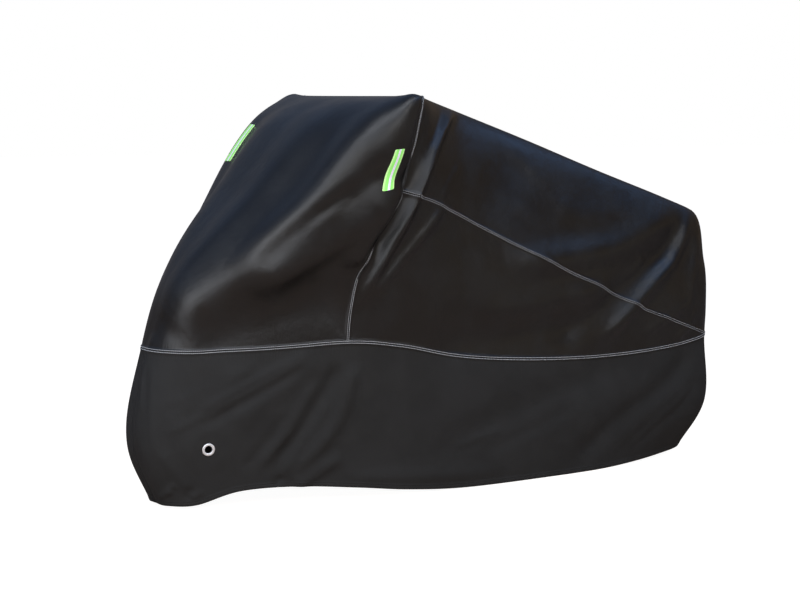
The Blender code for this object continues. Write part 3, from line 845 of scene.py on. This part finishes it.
def mesh_piece(name: str, points: list, edges: list, faces: list) -> bpy.types.Object:
    """A new piece from points and the edges or faces between them.

    Args:
        name: The piece's name.
        points: Its points.
        edges: Pairs of point numbers.
        faces: Rings of point numbers.

    Returns:
        The new object.
    """
    mesh = bpy.data.meshes.new(name)
    mesh.from_pydata(points, edges, faces)
    piece = bpy.data.objects.new(name, mesh)
    bpy.context.scene.collection.objects.link(piece)
    return piece


def dress(piece: bpy.types.Object, node: str, slot: str) -> None:
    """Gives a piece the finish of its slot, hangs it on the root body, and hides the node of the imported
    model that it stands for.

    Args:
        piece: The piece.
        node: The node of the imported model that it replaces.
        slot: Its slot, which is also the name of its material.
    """
    piece.data.materials.clear()
    piece.data.materials.append(MATERIALS[slot])
    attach(piece, "root")
    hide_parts(node)


def apply_modifier(piece: bpy.types.Object, kind: str, **settings: object) -> None:
    """Adds a modifier with these settings and applies it.

    Args:
        piece: The piece.
        kind: The modifier's type.
        settings: The modifier's own settings.
    """
    make_active(piece)
    modifier = piece.modifiers.new(kind.lower(), kind)
    for name, value in settings.items():
        setattr(modifier, name, value)
    bpy.ops.object.modifier_apply(modifier=modifier.name)


def moulded_grid(name: str, points: Points, uv: Points, flip: bool) -> bpy.types.Object:
    """A flat grid moulded to a surface.

    Args:
        name: The piece's name.
        points: Rows and columns of points.
        uv: Rows and columns of UV pairs.
        flip: Whether its faces are turned round.

    Returns:
        The new object, with its UV map "cloth".
    """
    rows, columns = points.shape[:2]
    deselect_all()
    bpy.ops.mesh.primitive_grid_add(x_subdivisions=columns - 1, y_subdivisions=rows - 1, size=1)
    piece = bpy.context.object
    piece.name = piece.data.name = name
    mesh = piece.data
    mesh.vertices.foreach_set("co", points.reshape(-1, 3).astype(np.float32).ravel())
    corner = np.zeros(len(mesh.loops), np.int32)
    mesh.loops.foreach_get("vertex_index", corner)
    layer = mesh.uv_layers[0]
    layer.name = "cloth"
    layer.data.foreach_set("uv", uv.reshape(-1, 2)[corner].astype(np.float32).ravel())
    mesh.update()
    if flip:
        with editing(piece):
            bpy.ops.mesh.flip_normals()
    return piece


def grid_normals(points: Points) -> Points:
    """Normals of a grid of points, rows down and columns to the right."""
    return unit(np.cross(np.gradient(points, axis=1), np.gradient(points, axis=0)))


# ---------------------------------------------------------------- cloth panels
class Border(Enum):
    """What an edge of a panel is."""

    SEAM = "seam"
    HEM = "hem"


# Raised band beside a felled seam, and the turned hem: distance from the edge, and height.
BAND = {
    Border.SEAM: ((.0000, -.0014), (.0008, -.0003), (.0016, .0009), (.0030, .0012),
                  (.0048, .0012), (.0062, .0009), (.0072, .0000)),
    Border.HEM: ((.0000, .0001), (.0010, .0007), (.0045, .0009), (.0095, .0008),
                 (.0108, .0002), (.0122, .0007), (.0138, .0006), (.0150, .0000)),
}


@dataclass
class Panel:
    """A panel of draped cloth between its borders, in its own shares s (across) and t (down), 0 to 1."""

    name: str
    node: str
    slot: str
    columns: int
    rows: int
    flat: tuple[float, float]
    area: float
    top: Border = Border.SEAM
    bottom: Border = Border.SEAM
    left: Border = Border.SEAM
    right: Border = Border.SEAM
    least_scale: float = .004
    inside: tuple[float, float, float] = (.2, 0, -.6)
    smooth_angle: float = 50.0
    piece: bpy.types.Object | None = field(default=None, init=False)

    def place(self, s: Points, t: Points) -> tuple[Points, Points]:
        """Signed place round the cover, and level, at the shares s and t."""
        raise NotImplementedError

    def surface(self, s: Points, t: Points) -> Points:
        """Points of the cloth at the shares s and t."""
        around, v = self.place(s, t)
        return DRAPE.both(around, v)

    @staticmethod
    def lines(borders: tuple[Border, Border], scales: tuple[Points, Points], count: int) -> Points:
        """Shares of the grid lines between two borders: bands of set widths, and even lines between them.

        Args:
            borders: The border at share 0 and that at share 1.
            scales: Metres for a share of one, at each of the two borders, one for each line's place.
            count: Number of the even lines.

        Returns:
            The shares, one row for each line.
        """
        start, end = (np.array(BAND[border])[:, 0] for border in borders)
        limit = .42
        low = np.minimum(start[:, None] / scales[0], limit * np.linspace(0, 1, len(start))[:, None])
        high = 1 - np.minimum(end[:, None] / scales[1], limit * np.linspace(0, 1, len(end))[:, None])
        inner = np.linspace(0, 1, count + 2)[1:-1, None]
        return np.concatenate([low, low[-1] + inner * (high[-1] - low[-1]), high[::-1]])

    def scale_at(self, s: Points, t: Points, ds: float, dt: float) -> Points:
        """Metres for a share of one, in the direction of a small step."""
        step = np.linalg.norm(self.surface(s + ds, t + dt) - self.surface(s, t), axis=-1)
        return np.maximum(step / (abs(ds) + abs(dt)), self.least_scale)

    def shares(self) -> tuple[Points, Points, list[Points]]:
        """Shares of all grid points, and their distances from the borders.

        Returns:
            The shares across, the shares down, and the distances from left, right, top and bottom.
        """
        even_s = np.linspace(0, 1, self.columns + len(BAND[self.left]) + len(BAND[self.right]))
        even_t = np.linspace(0, 1, self.rows + len(BAND[self.top]) + len(BAND[self.bottom]))
        zero_s, zero_t = np.zeros_like(even_s), np.zeros_like(even_t)
        step = .01
        across = (self.scale_at(zero_t, even_t, step, 0), self.scale_at(zero_t + 1, even_t, -step, 0))
        down = (self.scale_at(even_s, zero_s, 0, step), self.scale_at(even_s, zero_s + 1, 0, -step))
        s = self.lines((self.left, self.right), across, self.columns).T
        t = self.lines((self.top, self.bottom), down, self.rows)
        gaps = [s * across[0][:, None], (1 - s) * across[1][:, None], t * down[0], (1 - t) * down[1]]
        return s, t, gaps

    def build(self) -> bpy.types.Object:
        """Moulds the panel, raises its bands, gives it thickness and dresses it.

        Returns:
            The piece.
        """
        s, t, gaps = self.shares()
        points = self.surface(s, t)
        normals = grid_normals(points)
        flip = float(((points - np.array(self.inside)) * normals).sum(-1).mean()) < 0
        if flip:
            normals = -normals
        borders = (self.left, self.right, self.top, self.bottom)
        nearest = np.argmin(np.stack(gaps), axis=0)
        gap = np.min(np.stack(gaps), axis=0)
        lift = np.zeros(gap.shape)
        for k, border in enumerate(borders):
            band = np.array(BAND[border])
            lift = np.where(nearest == k, np.interp(gap, band[:, 0], band[:, 1], right=0.0), lift)
        points = points + normals * lift[..., None]
        uv = self.metres(points)
        self.piece = moulded_grid(self.name, points, uv, flip)
        self.mark("seam_gap", gap)
        along = np.where(nearest < 2, uv[..., 1], uv[..., 0])
        self.mark("seam_run", along)
        self.close()
        dress(self.piece, self.node, self.slot)
        return self.piece

    @staticmethod
    def metres(points: Points) -> Points:
        """UV pairs in metres: the way round along the middle row, and the way down along each column.

        Args:
            points: Rows and columns of points.

        Returns:
            Rows and columns of UV pairs.
        """
        middle = points[len(points) // 2]
        round_it = np.concatenate([[0], np.cumsum(np.linalg.norm(np.diff(middle, axis=0), axis=-1))])
        down = np.linalg.norm(np.diff(points, axis=0), axis=-1).cumsum(axis=0)
        down = np.concatenate([np.zeros((1, points.shape[1])), down])
        return np.stack([np.broadcast_to(round_it, down.shape), down], -1)

    def mark(self, name: str, values: Points) -> None:
        """Keeps one number for each point on the mesh."""
        layer = self.piece.data.attributes.new(name, "FLOAT", "POINT")
        layer.data.foreach_set("value", values.astype(np.float32).ravel())

    def close(self) -> None:
        """Merges the points that meet in corners, and gives the sheet its thickness inwards."""
        with editing(self.piece):
            bpy.ops.mesh.remove_doubles(threshold=.00004)
        apply_modifier(self.piece, "SOLIDIFY", thickness=CLOTH, offset=-1, use_even_offset=False)
        bpy.ops.object.shade_smooth_by_angle(angle=math.radians(self.smooth_angle))


@dataclass
class Hood(Panel):
    """Front hood, from its edge behind the bar to the belt."""

    top_share: float = .10

    def place(self, s: Points, t: Points) -> tuple[Points, Points]:
        """Over the bar in the first share of t, then down to the belt.

        Args:
            s: Shares from the left edge to the right.
            t: Shares from the edge behind the bar down to the belt.

        Returns:
            Signed places round the cover, and levels.
        """
        s, t = np.broadcast_arrays(s, t)
        v = np.where(t < self.top_share, t / self.top_share - 1,
                     (t - self.top_share) / (1 - self.top_share) * BELT_V)
        return (2 * s - 1) * SEAM_U, v


@dataclass
class RearTop(Panel):
    """Rear top: s runs from the bar to the tail, t from the left edge over the ridge to the right edge."""

    top_share: float = .24

    def place(self, s: Points, t: Points) -> tuple[Points, Points]:
        """Each half of t is a side, its inner share the way over the top.

        Args:
            s: Shares from the bar to the tail.
            t: Shares from the left edge to the right.

        Returns:
            Signed places round the cover, and levels.
        """
        s, t = np.broadcast_arrays(s, t)
        u = SEAM_U + s * (TAIL_U - SEAM_U)
        half = np.abs(2 * t - 1)
        v = np.where(half < self.top_share, half / self.top_share - 1,
                     (half - self.top_share) / (1 - self.top_share) * slant_v(u))
        return u * np.where(t < .5, -1, 1), v


@dataclass
class SidePanel(Panel):
    """Three-cornered side panel between hood seam, slanting seam and belt."""

    side: Side = Side.LEFT

    def place(self, s: Points, t: Points) -> tuple[Points, Points]:
        """From the hood seam to the rear corner, and from the slanting seam down to the belt.

        Args:
            s: Shares towards the rear.
            t: Shares downwards.

        Returns:
            Signed places round the cover, and levels.
        """
        s, t = np.broadcast_arrays(s, t)
        u = SEAM_U + s * (SLANT_END_U - SEAM_U)
        high = slant_v(u)
        return u * self.side.value, high + t * (BELT_V - high)


@dataclass
class Skirt(Panel):
    """Skirt of one side, from the belt to the hem, with the hole for its eyelet."""

    side: Side = Side.LEFT
    hole_radius: float = .0140
    edge_reach: float = 1.75        # points within this many radii of the centre are looked at
    edge_pull: float = 1.25         # those within this many radii of the axis go to the hole's edge

    def place(self, s: Points, t: Points) -> tuple[Points, Points]:
        """From nose to tail, and from the belt to the hem."""
        s, t = np.broadcast_arrays(s, t)
        return np.maximum(s * TAIL_U, 1e-6) * self.side.value, BELT_V + (HEM_V - BELT_V) * t

    def close(self) -> None:
        """Opens the eyelet's hole before the sheet gets its thickness."""
        centre, axis = DRAPE.eyelet_seat(self.side)
        mesh = self.piece.data
        with editing(self.piece):
            bpy.ops.mesh.select_mode(type="FACE")
            bpy.ops.mesh.select_all(action="DESELECT")
        middles = np.zeros(len(mesh.polygons) * 3, np.float32)
        mesh.polygons.foreach_get("center", middles)
        inside = np.linalg.norm(middles.reshape(-1, 3) - centre, axis=-1) < self.hole_radius
        mesh.polygons.foreach_set("select", inside)
        bpy.ops.object.mode_set(mode="EDIT")
        bpy.ops.mesh.delete(type="FACE")
        bpy.ops.object.mode_set(mode="OBJECT")
        for vertex in mesh.vertices:
            away = np.array(vertex.co) - centre
            flat = away - axis * (away @ axis)
            distance = float(np.linalg.norm(flat))
            near = np.linalg.norm(away) < self.hole_radius * self.edge_reach
            if near and distance < self.hole_radius * self.edge_pull:
                vertex.co = Vector(centre + flat / distance * self.hole_radius)
        super().close()


# ---------------------------------------------------------------- stitching
@dataclass
class Stitching:
    """Rows of stitches along one seam, joined as one piece."""

    name: str
    paths: list[tuple[Points, Points, Side]]
    rows: tuple[float, ...]
    finish: str
    pitch: float = .0052
    length: float = .0044
    width: float = .0021
    height: float = .0013
    rise: float = .0019
    piece: bpy.types.Object | None = field(default=None, init=False)

    def template(self) -> tuple[Points, Points]:
        """One stitch, of length one along X.

        Returns:
            Its points and faces.
        """
        deselect_all()
        bpy.ops.mesh.primitive_uv_sphere_add(segments=6, ring_count=5, radius=.5,
                                             rotation=(0, math.pi / 2, 0))
        ball = bpy.context.object
        bpy.ops.object.transform_apply(location=False, rotation=True, scale=False)
        apply_modifier(ball, "TRIANGULATE")
        points = np.array([v.co for v in ball.data.vertices])
        points[:, 0] = np.sign(points[:, 0]) * np.abs(points[:, 0] * 2) ** .6 / 2
        faces = np.array([tuple(p.vertices) for p in ball.data.polygons])
        bpy.data.objects.remove(ball, do_unlink=True)
        return points, faces

    def frames(self) -> tuple[Points, Points, Points]:
        """Where every stitch goes.

        Returns:
            Centre, direction and outward normal of every stitch.
        """
        centres, headings, normals = [], [], []
        for u, v, side in self.paths:
            line = DRAPE.cloth(u, v, side)
            normal = DRAPE.outward(DRAPE.cloth, u, v, side)
            run = np.concatenate([[0], np.cumsum(np.linalg.norm(np.diff(line, axis=0), axis=-1))])
            count = max(2, int(run[-1] / self.pitch))
            at = (np.arange(count) + .5) * run[-1] / count
            centre = np.stack([np.interp(at, run, line[:, k]) for k in range(3)], -1)
            up = unit(np.stack([np.interp(at, run, normal[:, k]) for k in range(3)], -1))
            heading = unit(np.gradient(centre, axis=0))
            across = np.cross(up, heading)
            for row in self.rows:
                centres.append(centre + across * row + up * self.rise)
                headings.append(heading)
                normals.append(up)
        return np.concatenate(centres), np.concatenate(headings), np.concatenate(normals)

    def build(self) -> bpy.types.Object:
        """Copies the stitch along the seam and joins the copies.

        Returns:
            The piece.
        """
        template, faces = self.template()
        centre, heading, up = self.frames()
        across = np.cross(up, heading)
        size = template * [self.length, self.width, self.height]
        points = (centre[:, None] + size[None, :, :1] * heading[:, None]
                  + size[None, :, 1:2] * across[:, None] + size[None, :, 2:] * up[:, None])
        count = len(template)
        index = faces[None] + (np.arange(len(centre)) * count)[:, None, None]
        self.piece = mesh_piece(self.name, points.reshape(-1, 3).tolist(), [], index.reshape(-1, 3).tolist())
        with editing(self.piece):
            bpy.ops.mesh.normals_make_consistent(inside=False)
        bpy.ops.object.shade_smooth()
        self.piece.data.materials.append(MATERIALS[self.finish])
        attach(self.piece, "root")
        return self.piece


def level_path(u0: float, u1: float, v: float, side: Side, count: int = 400) -> tuple[Points, Points, Side]:
    """A path round the cover at one level."""
    u = np.linspace(u0, u1, count)
    return u, np.full_like(u, v), side


def upright_path(u: float, v0: float, v1: float, side: Side, count: int = 200) -> tuple[Points, Points, Side]:
    """A path down the cover at one place."""
    v = np.linspace(v0, v1, count)
    return np.full_like(v, u), v, side


# ---------------------------------------------------------------- strips and eyelets
@dataclass
class ReflectiveStrip:
    """Reflective strip sewn flat on the hood."""

    name: str
    node: str
    side: Side
    u: tuple[float, float]
    v: tuple[float, float]
    flat: tuple[float, float]
    thickness: float = .0010
    lift: float = .0004
    columns: int = 21
    rows: int = 61
    corner_from: float = .86        # share of the half width where the ends' corners start
    corner_cut: float = .12
    piece: bpy.types.Object | None = field(default=None, init=False)

    def build(self) -> bpy.types.Object:
        """Moulds the strip to the hood, with cut corners and rounded edges.

        Returns:
            The piece.
        """
        s, t = np.meshgrid(np.linspace(0, 1, self.columns), np.linspace(0, 1, self.rows))
        cut = np.maximum(np.abs(2 * s - 1) - self.corner_from, 0) * self.corner_cut
        t_round = t + cut * (1 - 2 * t)
        u = self.u[0] + (self.u[1] - self.u[0]) * s
        v = self.v[0] + (self.v[1] - self.v[0]) * t_round
        points = DRAPE.cloth(u, v, self.side)
        normals = grid_normals(points)
        flip = float((normals[..., 1] * self.side.value).mean()) < 0
        if flip:
            normals = -normals
        points = points + normals * (self.lift + self.thickness)
        self.piece = moulded_grid(self.name, points, np.stack([s, t], -1), flip)
        apply_modifier(self.piece, "SOLIDIFY", thickness=self.thickness, offset=-1)
        apply_modifier(self.piece, "BEVEL", width=.0003, segments=2,
                       limit_method="ANGLE", angle_limit=math.radians(60))
        bpy.ops.object.shade_smooth_by_angle(angle=math.radians(40))
        dress(self.piece, self.node, "reflective_tape")
        return self.piece


@dataclass
class Eyelet:
    """Rolled metal eyelet: flange in front, barrel through the cloth, washer behind."""

    name: str
    node: str
    side: Side
    profile: tuple[tuple[float, float], ...] = (
        (.0170, .0004), (.0126, .0004), (.0126, -.0024), (.0160, -.0024), (.0166, -.0029), (.0160, -.0034),
        (.0118, -.0034), (.0108, -.0029), (.0104, -.0020), (.0104, .0008), (.0109, .0018), (.0120, .0024),
        (.0138, .0027), (.0156, .0023), (.0168, .0015), (.0172, .0008))
    steps: int = 72
    piece: bpy.types.Object | None = field(default=None, init=False)

    def build(self) -> bpy.types.Object:
        """Spins the profile round the eyelet's axis and seats it in the cloth.

        Returns:
            The piece.
        """
        count = len(self.profile)
        self.piece = mesh_piece(self.name, [(radius, 0, height) for radius, height in self.profile],
                                [(i, (i + 1) % count) for i in range(count)], [])
        with editing(self.piece):
            bpy.ops.mesh.spin(steps=self.steps, angle=2 * math.pi, center=(0, 0, 0), axis=(0, 0, 1))
            bpy.ops.mesh.select_all(action="SELECT")
            bpy.ops.mesh.remove_doubles(threshold=.00002)
            bpy.ops.mesh.normals_make_consistent(inside=False)
        centre, axis = DRAPE.eyelet_seat(self.side)
        self.piece.location = Vector(centre)
        self.piece.rotation_euler = Vector(axis).to_track_quat("Z", "Y").to_euler()
        bpy.ops.object.transform_apply(location=True, rotation=True, scale=True)
        bpy.ops.object.shade_smooth_by_angle(angle=math.radians(35))
        dress(self.piece, self.node, "eyelet_metal")
        return self.piece


# ---------------------------------------------------------------- studio
@dataclass(frozen=True)
class Softbox:
    """Soft rectangular light: its place, width and height, the brightness of its face, and its colour."""

    name: str
    place: tuple[float, float, float]
    size: tuple[float, float]
    radiance: float
    colour: tuple[float, float, float]

    def add(self, aim: tuple[float, float, float]) -> None:
        """Puts the light up.

        Args:
            aim: The point that it is turned towards.
        """
        data = bpy.data.lights.new(self.name, "AREA")
        data.shape = "RECTANGLE"
        data.size, data.size_y = self.size
        data.energy = self.radiance * math.pi * self.size[0] * self.size[1]
        data.color = self.colour
        light = bpy.data.objects.new(self.name, data)
        light.location = self.place
        light.rotation_euler = (Vector(aim) - Vector(self.place)).to_track_quat("-Z", "Y").to_euler()
        light.visible_camera = False
        bpy.context.scene.collection.objects.link(light)


SOFTBOXES = (
    Softbox("key_softbox", (-3.0, -1.9, .55), (2.2, 2.4), 3.4, (.96, 1.0, 1.07)),
    Softbox("near_softbox", (-1.7, -3.8, 1.3), (2.2, 1.4), 3.0, (.98, 1.0, 1.03)),
    Softbox("fold_softbox", (1.0, -3.8, 1.2), (1.7, 1.0), 4.2, (1.0, 1.0, 1.0)),
    Softbox("high_softbox", (.0, -1.75, 2.3), (3.6, 1.1), 3.6, (.96, 1.0, 1.06)),
    Softbox("sky_softbox", (2.9, -.75, 2.05), (1.4, .9), 1.9, (.30, .54, 1.05)),
    Softbox("fill_softbox", (-2.4, .1, 1.5), (1.7, 1.3), .6, (.82, .94, 1.12)),
    Softbox("warm_softbox", (2.9, -2.7, -.45), (3.0, 1.0), .30, (1.0, .90, .74)),
    Softbox("front_softbox", (-3.4, 1.6, 1.0), (2.6, 2.2), .12, (.40, .80, 1.50)),
    Softbox("back_softbox", (.15, 4.0, 1.0), (6.0, 3.0), .11, (.25, .62, 1.15)),
)


@dataclass
class Studio:
    """Pale floor, soft lights and the camera."""

    target: tuple[float, float, float] = (.162, 0, -.571)
    azimuth: float = -31.909
    elevation: float = 5.53
    distance: float = 6.042
    lens: float = 95.55
    aim: tuple[float, float, float] = (.15, 0, -.50)
    floor_size: float = 60.0

    def back(self) -> Vector:
        """Direction from the target to the camera."""
        a, e = math.radians(self.azimuth), math.radians(self.elevation)
        return Vector((math.sin(a) * math.cos(e), -math.cos(a) * math.cos(e), math.sin(e)))

    def add_camera(self) -> None:
        """The camera at the photograph's angle."""
        data = bpy.data.cameras.new("camera")
        data.lens = self.lens
        data.sensor_width = 36
        camera = bpy.data.objects.new("camera", data)
        camera.location = Vector(self.target) + self.back() * self.distance
        camera.rotation_euler = (-self.back()).to_track_quat("-Z", "Y").to_euler()
        bpy.context.scene.collection.objects.link(camera)
        bpy.context.scene.camera = camera

    def add_floor(self) -> None:
        """A plain pale floor under the hem."""
        deselect_all()
        bpy.ops.mesh.primitive_plane_add(size=self.floor_size, location=(0, 0, -REST_HEIGHT - .002))
        floor = bpy.context.object
        floor.name = "floor"
        bpy.ops.object.transform_apply(location=True)
        made, n, shader = new_material("pale_floor")
        shader.inputs["Base Color"].default_value = (.48, .36, .28, 1)
        shader.inputs["Roughness"].default_value = .9
        shader.inputs["Specular IOR Level"].default_value = 0.0
        seen = n.add("ShaderNodeLightPath").outputs["Is Camera Ray"]
        n.link(n.mix(seen, (0, 0, 0, 1), (1, 1, 1, 1)), shader.inputs["Emission Color"])
        shader.inputs["Emission Strength"].default_value = .97
        floor.data.materials.append(made)

    def add_sky(self) -> None:
        """Even soft light from all round, cooler from above."""
        world = bpy.data.worlds.new("soft_sky")
        world.use_nodes = True
        bpy.context.scene.world = world
        tree = world.node_tree
        n = NodeTree(tree)
        direction = n.add("ShaderNodeTexCoord").outputs["Generated"]
        height = n.add("ShaderNodeSeparateXYZ", {0: direction}).outputs[2]
        colour = n.mix(n.ramp(height, .25, .65), (.165, .125, .090, 1), (.115, .18, .32, 1))
        seen = n.add("ShaderNodeLightPath").outputs["Is Camera Ray"]
        colour = n.mix(seen, colour, (1, 1, 1, 1))
        tree.links.new(colour, tree.nodes["Background"].inputs[0])

    def build(self) -> None:
        """Sets the whole studio up."""
        self.add_floor()
        self.add_sky()
        for softbox in SOFTBOXES:
            softbox.add(self.aim)
        scene = bpy.context.scene
        scene.view_settings.view_transform = "Standard"
        scene.view_settings.look = "None"


# ---------------------------------------------------------------- the cover
MATERIALS: dict[str, bpy.types.Material] = {}


def make_materials() -> None:
    """Builds the node groups once, then every material."""
    GROUPS.update(weave=weave_group(), crumple=crumple_group(), pucker=pucker_group())
    finishes = (UPPER_CLOTH, SKIRT_CLOTH, TapeFinish(), MetalFinish(),
                ThreadFinish("pale_thread", (.42, .43, .45), (.60, .61, .62)),
                ThreadFinish("dark_thread", (.012, .012, .013), (.022, .022, .022)))
    for finish in finishes:
        MATERIALS[finish.name] = finish.material()


def panels() -> list[Panel]:
    """The six cloth panels.

    Returns:
        The panels, in the order they are built.
    """
    made: list[Panel] = [
        Hood("front_hood_cloth", "front_hood", "upper_cloth", 170, 112, (1.45, 1.25), 1.05),
        RearTop("rear_top_cloth", "rear_top", "upper_cloth", 190, 120, (1.45, 1.20), 1.22),
    ]
    for word, side in (("left", Side.LEFT), ("right", Side.RIGHT)):
        made.append(SidePanel(f"side_panel_{word}_cloth", f"side_panel_{word}", "upper_cloth",
                              175, 50, (1.40, .55), .36, side=side))
        made.append(Skirt(f"skirt_{word}_cloth", f"skirt_{word}", "skirt_cloth",
                          290, 60, (2.10, .46), .77, bottom=Border.HEM, side=side))
    return made


def seams() -> list[Stitching]:
    """All rows of stitching.

    Returns:
        The seams, in the order they are sewn.
    """
    both = (Side.LEFT, Side.RIGHT)
    slant_u = np.linspace(SEAM_U, SLANT_END_U, 400)
    return [
        Stitching("stitching_belt", [level_path(0, TAIL_U, BELT_V, side) for side in both], (-.0029, .0029),
                  "pale_thread"),
        Stitching("stitching_slant", [(slant_u, slant_v(slant_u), side) for side in both], (-.0026, .0026),
                  "pale_thread", width=.0015),
        Stitching("stitching_hood_seam", [upright_path(SEAM_U, 0, BELT_V, side) for side in both],
                  (-.0024, .0024), "pale_thread", width=.0015),
        Stitching("stitching_ends", [upright_path(u, BELT_V, HEM_V, Side.LEFT) for u in (1e-6, TAIL_U)],
                  (-.0028, .0028), "dark_thread", width=.0012, height=.0009),
        Stitching("stitching_hem", [level_path(0, TAIL_U, HEM_STITCH_V, side) for side in both], (0.0,),
                  "dark_thread", width=.0010, height=.0008, rise=.0006),
    ]


def fittings() -> list[ReflectiveStrip | Eyelet]:
    """The reflective strips and the eyelets."""
    return [
        ReflectiveStrip("strip_left_tape", "reflective_strip_left", Side.LEFT,
                        u=(.1632, .1768), v=(.575, .845), flat=(.037, .115)),
        ReflectiveStrip("strip_right_tape", "reflective_strip_right", Side.RIGHT,
                        u=(.0935, .1085), v=(.44, .72), flat=(.039, .134)),
        Eyelet("eyelet_left_ring", "eyelet_left", Side.LEFT),
        Eyelet("eyelet_right_ring", "eyelet_right", Side.RIGHT),
    ]


def main() -> None:
    """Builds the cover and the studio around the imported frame."""
    logging.basicConfig(level=logging.INFO, format="%(message)s")
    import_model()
    studio = Studio()
    studio.add_camera()
    make_materials()
    for panel in panels():
        panel.build()
        LOG.info("panel %s: %d faces", panel.name, len(panel.piece.data.polygons))
    for seam in seams():
        seam.build()
        LOG.info("stitching %s: %d faces", seam.name, len(seam.piece.data.polygons))
    for fitting in fittings():
        fitting.build()
        LOG.info("fitting %s: %d faces", fitting.name, len(fitting.piece.data.polygons))
    studio.build()
    bpy.context.view_layer.update()


if __name__ == "__main__":
    main()
